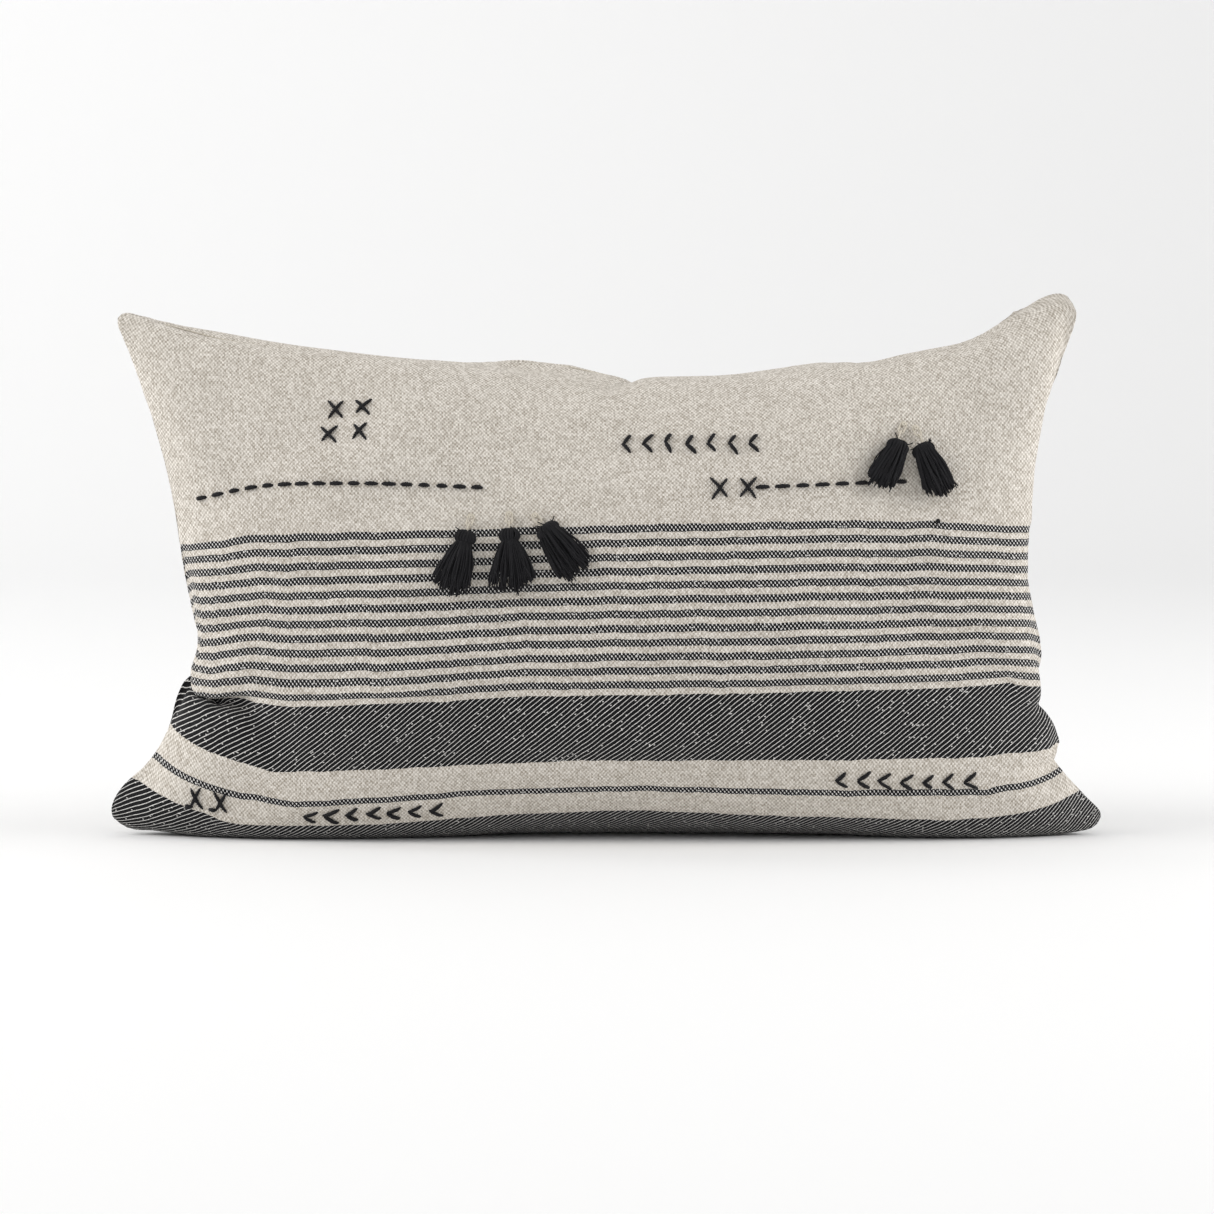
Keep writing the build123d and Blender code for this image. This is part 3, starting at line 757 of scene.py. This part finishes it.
def grid_mesh(name, points, u, v, flip=False, shown=None):
    """A smooth mesh over a grid of points, with its place on the cut as a UV map.

    Places along a row are lengths on the cloth from its middle, with depth counted in part.
    """
    rows, columns = points.shape[:2]
    index = np.arange(rows * columns).reshape(rows, columns)
    quads = np.stack([index[:-1, :-1], index[:-1, 1:], index[1:, 1:], index[1:, :-1]], axis=-1)
    quads = quads.reshape(-1, 4) if shown is None else quads[shown]
    if flip:
        quads = quads[:, ::-1]
    mesh = bpy.data.meshes.new(name)
    mesh.from_pydata((points.reshape(-1, 3) * MM).tolist(), [], quads.tolist())
    steps = np.linalg.norm(np.diff(points, axis=1) * (1, DEPTH_SHARE, 1), axis=-1)
    length = np.pad(np.cumsum(steps, axis=1), ((0, 0), (1, 0)))
    along = length - length[:, [columns // 2]] + u[columns // 2]
    up = np.broadcast_to(v[:, None], along.shape)
    place = np.stack([along, up], axis=-1).reshape(-1, 2) * MM
    layer = mesh.uv_layers.new(name="cut")
    layer.data.foreach_set("uv", place[quads.reshape(-1)].astype(np.float32).reshape(-1))
    mesh.polygons.foreach_set("use_smooth", [True] * len(quads))
    drop_loose(mesh)
    return mesh


def drop_loose(mesh):
    work = bmesh.new()
    work.from_mesh(mesh)
    loose = [vertex for vertex in work.verts if not vertex.link_faces]
    bmesh.ops.delete(work, geom=loose, context="VERTS")
    work.to_mesh(mesh)
    work.free()


def closed_mesh(name, layer, cloth):
    """One closed skin from the two sides of a layer, joined along the seam."""
    parts = [grid_mesh(name, layer[side], cloth.u, cloth.v, side == 1) for side in (0, 1)]
    skin = bmesh.new()
    for part in parts:
        skin.from_mesh(part)
    bmesh.ops.remove_doubles(skin, verts=skin.verts, dist=WELD)
    skin.to_mesh(parts[0])
    skin.free()
    bpy.data.meshes.remove(parts[1])
    return parts[0]


def thicken(piece, thickness):
    """Gives a sheet its thickness, behind its faces."""
    modifier = piece.modifiers.new("thickness", "SOLIDIFY")
    modifier.thickness, modifier.offset = thickness * MM, -1.0


def unit(vectors):
    return vectors / (np.linalg.norm(vectors, axis=-1, keepdims=True) + 1e-12)


def carried_normals(along):
    """Directions square to a line that turn with it and never flip."""
    now = np.array([0, 0, 1.0] if abs(along[0][2]) < 0.8 else [1.0, 0, 0])
    out = []
    for tangent in along:
        now = now - tangent * (now @ tangent)
        now = now / math.sqrt(now @ now)
        out.append(now)
    return np.array(out)


class Strands:
    """Collects round threads, given in millimetres, into one mesh."""

    def __init__(self):
        self.points, self.faces, self.count = [], [], 0

    def add(self, line, radius, sides=6, closed=False):
        """Adds a tube along a line; radius is one value or one for each point."""
        line = np.asarray(line, float)
        if closed:
            along = unit(np.roll(line, -1, axis=0) - np.roll(line, 1, axis=0))
        else:
            along = unit(np.gradient(line, axis=0))
        out = carried_normals(along)
        side = np.cross(along, out)[:, None]
        turn = np.linspace(0, 2 * math.pi, sides, endpoint=False)[:, None]
        size = np.broadcast_to(radius, len(line))[:, None, None]
        rings = line[:, None] + size * (np.cos(turn) * out[:, None] + np.sin(turn) * side)
        self.points.append(rings.reshape(-1, 3))
        ids = self.count + np.arange(len(line) * sides).reshape(-1, sides)
        self.count += ids.size
        ring, after = (ids, np.roll(ids, -1, axis=0)) if closed else (ids[:-1], ids[1:])
        corners = ring, after, np.roll(after, -1, axis=1), np.roll(ring, -1, axis=1)
        self.faces += np.stack(corners, axis=-1).reshape(-1, 4).tolist()
        if not closed:
            self.faces += [ids[0].tolist(), ids[-1, ::-1].tolist()]
        return self

    def add_plied(self, line, radius, out, plies=3, pitch=3.4, phase=0.0):
        """Adds plies twisted round a line; out is a direction roughly square to it."""
        line = np.asarray(line, float)
        along = unit(np.gradient(line, axis=0))
        side = unit(np.cross(along, out))
        up = np.cross(side, along)
        steps = np.linalg.norm(np.diff(line, axis=0), axis=1)
        length = np.concatenate([[0], np.cumsum(steps)])
        size = np.broadcast_to(radius, len(line))[:, None]
        for ply in range(plies):
            turn = (2 * math.pi * (length / pitch + ply / plies) + phase)[:, None]
            offset = PLY_OFFSET * size * (np.cos(turn) * side + np.sin(turn) * up)
            self.add(line + offset, PLY_SIZE * size[:, 0])

    def add_ball(self, centre, radius, axis, rings=8, sides=14):
        """Adds a round ball, as a tube whose radius swells."""
        turn = np.linspace(BALL_TIP, math.pi - BALL_TIP, rings)
        self.add(centre - np.cos(turn)[:, None] * radius * axis, radius * np.sin(turn), sides)

    def mesh(self, name):
        mesh = bpy.data.meshes.new(name)
        mesh.from_pydata((np.concatenate(self.points) * MM).tolist(), [], self.faces)
        mesh.polygons.foreach_set("use_smooth", [True] * len(self.faces))
        return mesh


# ---- cover and insert ----
# Layers in the cover: gap to it, inset at the seams, and height over the zipper.
CASING_LAYER, FILL_LAYER = (2.4, 9.0, 11.5), (4.2, 12.0, 13.0)
CASING_THICKNESS = 0.6
ZIP_CLEARANCE, ZIP_MARGIN, ZIP_EASE = 20.0, 12, 6
# How many grid steps round a fold the layers keep clear of it.
FOLD_REACH = 2


def hem_rows(cloth, side):
    """The hem beside the zipper, as rows below the panel's first row."""
    edge = cloth.points[side, 0]
    heights = np.linspace(TAPE_BOTTOM - HEM_GAP, FLOOR_GAP + BOTTOM_RISE, HEM_ROWS + 1)[:-1]
    rows = np.repeat(edge[None], len(heights), axis=0)
    rows[..., 2] = heights[:, None]
    return rows


def make_cover(cloth):
    material = woven_cloth()
    for side, name in enumerate(("front", "back")):
        hems = hem_rows(cloth, side)
        points = np.concatenate([hems, cloth.points[side]])
        v = np.concatenate([-HEM_ROW * np.arange(len(hems), 0, -1), cloth.v])
        shown = np.ones((len(v) - 1, len(cloth.u) - 1), bool)
        open_part = np.abs(cloth.points[side, 0, :, 0]) < OPENING_HALF
        shown[:len(hems)] = (open_part[1:] & open_part[:-1])[None]
        mesh = grid_mesh(f"cover_{name}_cloth", points, cloth.u, v, side == 1, shown)
        piece = put(mesh, material, "root", [f"cover_{name}_panel"])
        thicken(piece, CLOTH_THICKNESS)


def least_nearby(depth, reach):
    """The least depth within reach of each place of a grid."""
    windows = np.lib.stride_tricks.sliding_window_view(
        np.pad(depth, reach, mode="edge"), (2 * reach + 1, 2 * reach + 1)
    )
    return windows.min(axis=(-2, -1))


def inner_layer(cloth, gap, inset, over_zip):
    """The cloth's shape again, inside it by a gap and an inset, and over the zipper."""
    points = cloth.points.copy()
    middle = points.mean(axis=0)
    half = np.linalg.norm(points[0] - points[1], axis=-1, keepdims=True) / 2
    points = middle + (points - middle) * np.clip(1 - gap / np.maximum(half, gap), 0, 1)
    s, t = np.meshgrid(2 * cloth.u / PANEL_WIDTH - 1, 2 * cloth.v / PANEL_HEIGHT - 1)
    points[..., 0] -= inset * s
    points[..., 2] -= inset * t
    plane = SEAM_Y + points[..., 2] * LEAN
    for side, way in ((0, -1), (1, 1)):
        depth = least_nearby(way * (points[side, ..., 1] - plane[side]), FOLD_REACH)
        points[side, ..., 1] = plane[side] + way * depth
    for part in (points[:, :, 0], points[:, :, -1], points[:, -1], points[:, 0]):
        part[:] = part.mean(axis=0)
    near = np.clip((ZIP_CLEARANCE - np.abs(points[..., 1] - ZIP_Y)) / ZIP_EASE, 0, 1)
    near *= np.clip((OPENING_HALF + ZIP_MARGIN - np.abs(points[..., 0])) / ZIP_EASE, 0, 1)
    np.maximum(points[..., 2], FLOOR_GAP + gap + (over_zip - gap) * near, out=points[..., 2])
    return points


def make_insert(cloth):
    casing = plain_cloth("casing_cloth", CASING_COLOUR)
    layer = inner_layer(cloth, *CASING_LAYER)
    for side, name in enumerate(("front", "back")):
        mesh = grid_mesh(f"insert_casing_{name}_cloth", layer[side], cloth.u, cloth.v, side == 1)
        piece = put(mesh, casing, "root", [f"insert_casing_{name}"])
        thicken(piece, CASING_THICKNESS)
    wadding = plain_cloth("fill", FILL_COLOUR)
    mesh = closed_mesh("insert_wadding", inner_layer(cloth, *FILL_LAYER), cloth)
    piece = put(mesh, wadding, "root", ["insert_fill"])


class Front:
    """Looks up places on the stuffed front panel."""

    SEARCH_STEPS, LEAST_AREA = 6, 0.05

    def __init__(self, cloth):
        self.points, self.normals = cloth.points[0], cloth.normals()[0]
        self.du, self.dv = cloth.du, cloth.dv

    def read(self, grid, u, v):
        i = min(max(u / self.du, 0), grid.shape[1] - 1.001)
        j = min(max(v / self.dv, 0), grid.shape[0] - 1.001)
        i0, j0 = int(i), int(j)
        s, t = i - i0, j - j0
        low = (1 - s) * grid[j0, i0] + s * grid[j0, i0 + 1]
        high = (1 - s) * grid[j0 + 1, i0] + s * grid[j0 + 1, i0 + 1]
        return (1 - t) * low + t * high

    def at(self, u, v, lift=0.0):
        return self.read(self.points, u, v) + lift * self.read(self.normals, u, v)

    def normal(self, u, v):
        return self.read(self.normals, u, v)

    def cut_place(self, x, z):
        """The place on the cut that is seen at x and z from the front."""
        away = np.hypot(self.points[..., 0] - x, self.points[..., 2] - z)
        j, i = np.unravel_index(np.argmin(away), away.shape)
        u, v = i * self.du, j * self.dv
        for _ in range(self.SEARCH_STEPS):
            here = self.at(u, v)
            by_u, by_v = self.at(u + 1, v) - here, self.at(u, v + 1) - here
            area = by_u[0] * by_v[2] - by_v[0] * by_u[2]
            if abs(area) < self.LEAST_AREA:
                break
            right, up = x - here[0], z - here[2]
            u += float(np.clip((right * by_v[2] - up * by_v[0]) / area, -self.du, self.du))
            v += float(np.clip((up * by_u[0] - right * by_u[2]) / area, -self.dv, self.dv))
        return u, v


# ---- hand embroidery ----
# Middles as (x, z), half the width and height, and the length of a loose tail.
CROSSES = {
    "crosses_upper_left": (
        [(-160.5, 255.5), (-143.5, 257), (-163.5, 241.5), (-144.5, 243)], (4.2, 4.2), 0
    ),
    "crosses_right": ([(65.5, 210), (83, 210)], (4.6, 5.4), 0),
    "crosses_lower_left": ([(-243.5, 25), (-229, 23.5)], (3.4, 5.6), 3.2),
}
CHEVRONS = {
    "chevrons_upper_right": ((11.5, 235.5), (86, 235.5), 7, (2.2, 5.0)),
    "chevrons_lower_left": ((-175.5, 15.5), (-100.5, 19.5), 7, (4.0, 3.8)),
    "chevrons_lower_right": ((137.5, 38), (214.5, 36), 7, (3.4, 4.8)),
}
RUNNING_STITCHES = {
    "running_stitch_left": ([(-240, 203), (-206, 210), (-150, 212.7), (-76, 210.3)], 17, 6.6),
    "running_stitch_right": ([(91, 210.5), (130, 212), (173, 213)], 8, 7.0),
}
KNOT_AT = (194, 190)
YARN_RADIUS, DASH_RADIUS = 1.3, 1.45
# How a stitch lies on the cloth, dives at its ends and thins towards them.
STITCH_LIFT, STITCH_GAP, STITCH_DIVE, STITCH_TAPER = 0.55, 0.35, 1.5, 0.35
# How unevenly crosses and the points and wings of chevrons are sewn.
CROSS_JITTER, POINT_JITTER, WING_JITTER = 0.9, 0.5, 1.1
KNOT_RADIUS, KNOT_CLIMB, KNOT_THREAD, KNOT_CORE, KNOT_END = 0.9, 0.12, 0.55, 0.6, 0.4
STITCH_SEED = 7


def sew(strands, front, start, end, radius, random):
    """One stitch from start to end, as (x, z); its ends dive into the cloth."""
    (u0, v0), (u1, v1) = front.cut_place(*start), front.cut_place(*end)
    t = np.linspace(0, 1, 11)
    dip = np.abs(2 * t - 1) ** 4
    lift = STITCH_LIFT * radius + STITCH_GAP - STITCH_DIVE * dip
    line = [front.at(u0 + s * (u1 - u0), v0 + s * (v1 - v0), rise) for s, rise in zip(t, lift)]
    size = radius * (1 - STITCH_TAPER * np.abs(2 * t - 1) ** 2)
    out = front.normal((u0 + u1) / 2, (v0 + v1) / 2)
    strands.add_plied(line, size, out, phase=random.uniform(0, 6))


def jittered(random, point, amount):
    return point[0] + random.uniform(-amount, amount), point[1] + random.uniform(-amount, amount)


def sew_crosses(front, random, middles, half, tail):
    strands = Strands()
    w, h = half
    for x, z in middles:
        for way in (1, -1):
            start = jittered(random, (x - w, z + way * h), CROSS_JITTER)
            end = jittered(random, (x + w, z - way * h), CROSS_JITTER)
            sew(strands, front, start, end, YARN_RADIUS, random)
        if tail:
            start, end = (x - w + 0.8, z - h + 0.6), (x - w - tail, z - h + 1)
            sew(strands, front, start, end, YARN_RADIUS, random)
    return strands


def sew_chevrons(front, random, first, last, count, half):
    strands = Strands()
    w, h = half
    for along in np.linspace(0, 1, count):
        x = first[0] + along * (last[0] - first[0])
        z = first[1] + along * (last[1] - first[1])
        point = jittered(random, (x - w, z), POINT_JITTER)
        for way in (1, -1):
            start = jittered(random, point, POINT_JITTER)
            end = jittered(random, (x + w, z + way * h), WING_JITTER)
            sew(strands, front, start, end, YARN_RADIUS * random.uniform(0.85, 1.1), random)
    return strands


def sew_running(front, random, line, count, dash):
    strands = Strands()
    x, z = np.array(line, float).T
    place = np.concatenate([[0], np.cumsum(np.hypot(np.diff(x), np.diff(z)))])
    known = np.stack([place, x, z], axis=1)
    for middle in np.linspace(0, place[-1], count):
        half = dash / 2 * random.uniform(0.78, 1.2)
        ends = []
        for way in (-1, 1):
            at = np.array([middle + way * half])
            ends.append((float(through(known, at, 1)[0]), float(through(known, at, 2)[0])))
        sew(strands, front, ends[0], ends[1], DASH_RADIUS, random)
    return strands


def tied_knot(front):
    """A round knot of thread on the cloth, with two short ends."""
    strands = Strands()
    u, v = front.cut_place(*KNOT_AT)
    centre, out = front.at(u, v, 1.0), front.normal(u, v)
    side = unit(np.cross(out, [0, 0, 1.0]))
    up = np.cross(side, out)
    turn = np.linspace(0, 4 * math.pi, 34)[:, None]
    circle = KNOT_RADIUS * (np.cos(turn) * side + np.sin(turn) * up)
    strands.add(centre + circle + KNOT_CLIMB * turn / math.pi * out, KNOT_THREAD)
    strands.add([centre - 1.5 * out, centre, centre + 1.1 * out], KNOT_CORE)
    strands.add([centre, centre - 1.6 * up + 0.5 * side, centre - 2.9 * up + 1.3 * side], KNOT_END)
    return strands


def finish_thread(strands, node, material):
    put(strands.mesh(f"{node}_yarn"), material, "root", [node])


def make_embroidery(front):
    random = np.random.default_rng(STITCH_SEED)
    thread = black_yarn("embroidery_thread", 0.62)
    groups = (CROSSES, sew_crosses), (CHEVRONS, sew_chevrons), (RUNNING_STITCHES, sew_running)
    for group, sew_pattern in groups:
        for name, shape in group.items():
            finish_thread(sew_pattern(front, random, *shape), name, thread)
    finish_thread(tied_knot(front), "thread_knot", thread)


# ---- tassels ----
# Half the width of the head and of the fringe, where the head's middle lies and the fringe
# starts and ends, how far the head and the end lie to the side, and the stray threads.
TASSEL_SHAPES = {
    1: (5.4, 11.6, 13.0, 16.0, 46.2, 0.4, 0.4, 3),
    2: (5.6, 13.8, 13.0, 16.0, 45.4, 0.0, 0.0, 1),
    3: (6.4, 12.0, 12.0, 10.0, 43.5, 0.6, 0.0, 7),
    4: (6.2, 9.4, 15.0, 12.5, 42.5, 2.0, -0.2, 2),
    5: (6.2, 9.8, 14.6, 12.0, 43.6, -2.6, -3.8, 9),
}
# The anchor's post, and the knot round its end.
POST_FROM, POST_TO, POST_RADIUS, POST_PITCH = -1.2, 3.4, 0.62, 2.6
TIE_RADIUS, TIE_FROM, TIE_CLIMB, TIE_THREAD = 0.75, 3.45, 0.035, 0.5
LINK_HEIGHT, LINK_REACH, LINK_BEND, LINK_THREAD = 2.6, 5.5, 1.7, 0.5
EYE_START, EYE_HEIGHT, EYE_OVERLAP, EYE_THREAD = 4.1, 1.4, 0.8, 0.45
# The head's core, and the threads folded over it from near its tip to near its tail.
HEAD_RADIUS, HEAD_HEIGHT, HEAD_STRANDS, HEAD_THREAD = 3.4, 4.0, 44, 0.52
CORE_INSET, HEAD_TIP, HEAD_TAIL, HEAD_ROUNDNESS = 0.3, 0.12, 0.45, 0.7
STRAY_START, STRAY_REACH, STRAY_LEAN, STRAY_THREAD = 2.6, (2.0, 5.5), 1.4, 0.34
WRAP_START, WRAP_END, WRAP_RADIUS, WRAP_TURNS, WRAP_THREAD = 2.4, 4.4, 2.35, 5, 0.42
NECK_SHARE = 0.8
# The fringe's threads gather in locks; few are longer than the rest.
SKIRT_STRANDS, SKIRT_THREAD, LOCKS, LEAST_LENGTH, LONG_FROM = 250, 0.46, 11, 0.84, 0.93
SKIRT_LIFT, SKIRT_THICKNESS, SKIRT_SWELL, SKIRT_FLOOR = 0.4, 1.7, 1.5, 0.9
TASSEL_SEED = 11


class TasselFrame:
    """A tassel's axes from its CAD joints: x along it, y across, z off the cloth."""

    def __init__(self, number):
        joints = {j["name"]: j for j in frame["joints"]}
        swing, lift = joints[f"tassel_{number}_swing"], joints[f"tassel_{number}_lift"]
        self.origin = np.array(swing["pos_m"]) / MM
        self.out = np.array(swing["axis"], float)
        reach = np.array(lift["pos_m"]) / MM - self.origin
        along = reach - self.out * (reach @ self.out)
        self.along = along / np.linalg.norm(along)
        self.side = np.cross(self.out, self.along)

    def world(self, x, y, z):
        """Points in the scene from lengths on the tassel's axes."""
        local = np.atleast_2d(np.stack(np.broadcast_arrays(x, y, z), axis=-1).astype(float))
        return self.origin + local @ np.stack([self.along, self.side, self.out])


def tassel_anchor(place):
    """A short post of thread through the cloth, with a knot round its end."""
    strands = Strands()
    post = place.world(0, 0, np.linspace(POST_FROM, POST_TO, 12))
    strands.add_plied(post, POST_RADIUS, place.along, plies=2, pitch=POST_PITCH)
    turn = np.linspace(0, 4 * math.pi, 30)
    knot = place.world(TIE_RADIUS * np.cos(turn), TIE_RADIUS * np.sin(turn), TIE_FROM + TIE_CLIMB * turn)
    strands.add(knot, TIE_THREAD)
    return strands


def tassel_link(place):
    """The closed loop of sewing thread that a tassel hangs by."""
    turn = np.linspace(-math.pi / 2, math.pi / 2, 12)
    x, y = LINK_BEND * np.cos(turn), LINK_BEND * np.sin(turn)
    line = place.world(np.append(LINK_REACH - LINK_BEND + x, -x), np.append(y, -y), LINK_HEIGHT)
    return Strands().add(line, LINK_THREAD, sides=8, closed=True)


def tassel_eye(place, head):
    """The long loop of sewing thread between the link and the tassel's head."""
    turn = np.linspace(0, 2 * math.pi, 24, endpoint=False)
    end = head - EYE_OVERLAP * HEAD_RADIUS
    x = (EYE_START + end) / 2 - (end - EYE_START) / 2 * np.cos(turn)
    line = place.world(x, 0, LINK_HEIGHT + EYE_HEIGHT * np.sin(turn))
    return Strands().add(line, EYE_THREAD, closed=True)


def tassel_head(place, shape, random):
    """A wound core, the threads that fold over it, and a few that have come loose."""
    shoulder, _, head, _, _, aside, _, strays = shape
    strands = Strands()
    strands.add_ball(place.world(head, aside, HEAD_HEIGHT)[0], HEAD_RADIUS - CORE_INSET, place.along)
    spread = np.linspace(HEAD_TIP, math.pi - HEAD_TAIL, 10)
    for strand in range(HEAD_STRANDS):
        around = 2 * math.pi * strand / HEAD_STRANDS + random.uniform(-0.06, 0.06)
        size = random.uniform(0.84, 1.14)
        x = head - (HEAD_RADIUS + 0.6) * np.cos(spread) * random.uniform(0.86, 1.1)
        y = aside + size * (shoulder + 0.2) * np.sin(spread) ** HEAD_ROUNDNESS * math.cos(around)
        z = HEAD_HEIGHT + size * (HEAD_RADIUS - 0.4) * np.sin(spread) ** HEAD_ROUNDNESS * math.sin(around)
        strands.add(place.world(x, y, z), HEAD_THREAD, sides=5)
    t = np.linspace(0, 1, 8)
    for _ in range(strays):
        lean = random.uniform(-STRAY_LEAN, STRAY_LEAN)
        length = random.uniform(*STRAY_REACH)
        x = head - STRAY_START - t * length * math.cos(lean)
        y = aside + (shoulder * 0.6 + t * length) * math.sin(lean) + 0.6 * np.sin(4 * t)
        z = HEAD_HEIGHT + 1.0 + random.uniform(-1, 1) * t
        strands.add(place.world(x, y, z), STRAY_THREAD, sides=5)
    return strands


def tassel_wrap(place, shape):
    shoulder, _, head, _, _, aside, _, _ = shape
    turn = np.linspace(0, 2 * math.pi * WRAP_TURNS, WRAP_TURNS * 16)
    x = head + np.linspace(WRAP_START, WRAP_END, len(turn))
    y = aside + NECK_SHARE * shoulder * np.cos(turn)
    return Strands().add(place.world(x, y, HEAD_HEIGHT + WRAP_RADIUS * np.sin(turn)), WRAP_THREAD)


def tassel_skirt(place, shape, random):
    """The fringe: loose threads that fan out flat, each with its own wave and length."""
    shoulder, half_width, _, start, end, aside, end_aside, _ = shape
    strands = Strands()
    t = np.linspace(0, 1, 10)
    locks = random.normal(0, 0.9, (LOCKS, 3))
    for _ in range(SKIRT_STRANDS):
        share = math.sqrt(random.uniform(0, 1))
        angle = random.uniform(0, 2 * math.pi)
        across, thick = share * math.cos(angle), share * math.sin(angle)
        sway, bob, extra = locks[int((across + 1) / 2 * (LOCKS - 0.01))]
        reach = (end - start) * random.uniform(LEAST_LENGTH, 1.0) * (1 - 0.1 * across * across)
        reach *= 1 + 0.04 * extra + 0.1 * (random.uniform(0, 1) > LONG_FROM)
        flare = 0.65 * (1 - (1 - t) ** 2.2) + 0.35 * t
        wave = random.normal(0, 0.8) * np.sin(t * random.uniform(3, 9) + random.uniform(0, 6)) * t
        neck = NECK_SHARE * shoulder
        y = across * (neck + (half_width - neck) * flare) + wave + 0.8 * sway * t * t
        y += aside + (end_aside - aside) * t
        swell = np.sin(math.pi * np.clip(0.12 + t * 1.1, 0, 1))
        z = HEAD_HEIGHT + SKIRT_LIFT + thick * (SKIRT_THICKNESS + SKIRT_SWELL * swell)
        z = np.maximum(z + 0.4 * wave + 0.7 * bob * np.sin(3 * t), SKIRT_FLOOR)
        strands.add(place.world(start + reach * t, y, z), SKIRT_THREAD * (1 - 0.2 * t), sides=5)
    return strands


def make_tassels(thread):
    random = np.random.default_rng(TASSEL_SEED)
    yarn = black_yarn("tassel_yarn", 0.7)
    for number, shape in TASSEL_SHAPES.items():
        place, body = TasselFrame(number), f"tassel_{number}"
        parts = (
            ("anchor", tassel_anchor(place), thread, "root", "sewing_thread"),
            ("link", tassel_link(place), thread, f"{body}_hanger", "sewing_thread"),
            ("head", tassel_head(place, shape, random), yarn, body, "tassel_yarn"),
            ("neck_wrap", tassel_wrap(place, shape), yarn, body, "tassel_yarn"),
            ("skirt", tassel_skirt(place, shape, random), yarn, body, "tassel_yarn"),
        )
        for part, strands, material, rides, slot in parts:
            put(strands.mesh(f"{body}_{part}_yarn"), material, rides, [f"{body}_{part}"])
        eye = tassel_eye(place, shape[2])
        put(eye.mesh(f"{body}_eye_thread"), thread, body)


# ---- seam threads and zipper ----
# Grid lines from the seam to its stitches, and from the corners to their ends.
STITCH_LINE, SIDE_END, TOP_END, SEAM_THREAD = 2, 10, 14, 0.35
COIL_PITCH, COIL_SIDES, COIL_WIRE, COIL_SHARE, COIL_RISE = 1.5, 12, 0.26, 0.62, 0.55


def make_seam_threads(cloth, thread):
    """The line of lockstitch just inside each seam."""
    middle = cloth.points.mean(axis=0)
    inside, outside = STITCH_LINE, -1 - STITCH_LINE
    side, top = slice(SIDE_END, -SIDE_END), slice(TOP_END, -TOP_END)
    lines = {"left": middle[side, inside], "right": middle[side, outside], "top": middle[outside, top]}
    for name, line in lines.items():
        node = f"seam_thread_{name}"
        strands = Strands().add(line, SEAM_THREAD)
        put(strands.mesh(f"{node}_line"), thread, "root", [node])


def make_coils():
    nylon, _, _ = new_material("zipper_coil", 0.35, colour=NYLON)
    for name in ("front", "back"):
        node = f"zipper_coil_{name}"
        low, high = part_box(node)
        length = (high.x - low.x) / MM
        turns = int(length / COIL_PITCH)
        turn = np.linspace(0, 2 * math.pi * turns, turns * COIL_SIDES)
        x = low.x / MM + length * turn / turn[-1]
        y = (low.y + high.y) / 2 / MM + COIL_SHARE * np.cos(turn) * (high.y - low.y) / 2 / MM
        z = (low.z + high.z) / 2 / MM + COIL_RISE * np.sin(turn)
        strands = Strands().add(np.stack([x, y, z], axis=1), COIL_WIRE, sides=5)
        put(strands.mesh(f"{node}_turns"), nylon, "root", [node])


def dress_zipper():
    """Better materials for the CAD nodes that stay."""
    tape, metal = zipper_tape(), zipper_metal()
    for part in ("tape_front", "tape_back", "top_stops", "bottom_stop", "slider", "pull_tab"):
        for place in frame["nodes"][f"zipper_{part}"].material_slots:
            place.material = tape if part.startswith("tape") else metal


make_studio()
cover = stuffed_cover()
meet_anchors(cover)
make_insert(cover.coarser())
linen_thread = sewing_thread()
make_seam_threads(cover, linen_thread)
finish_edges(cover)
make_cover(cover)
make_embroidery(Front(cover))
make_tassels(linen_thread)
make_coils()
dress_zipper()
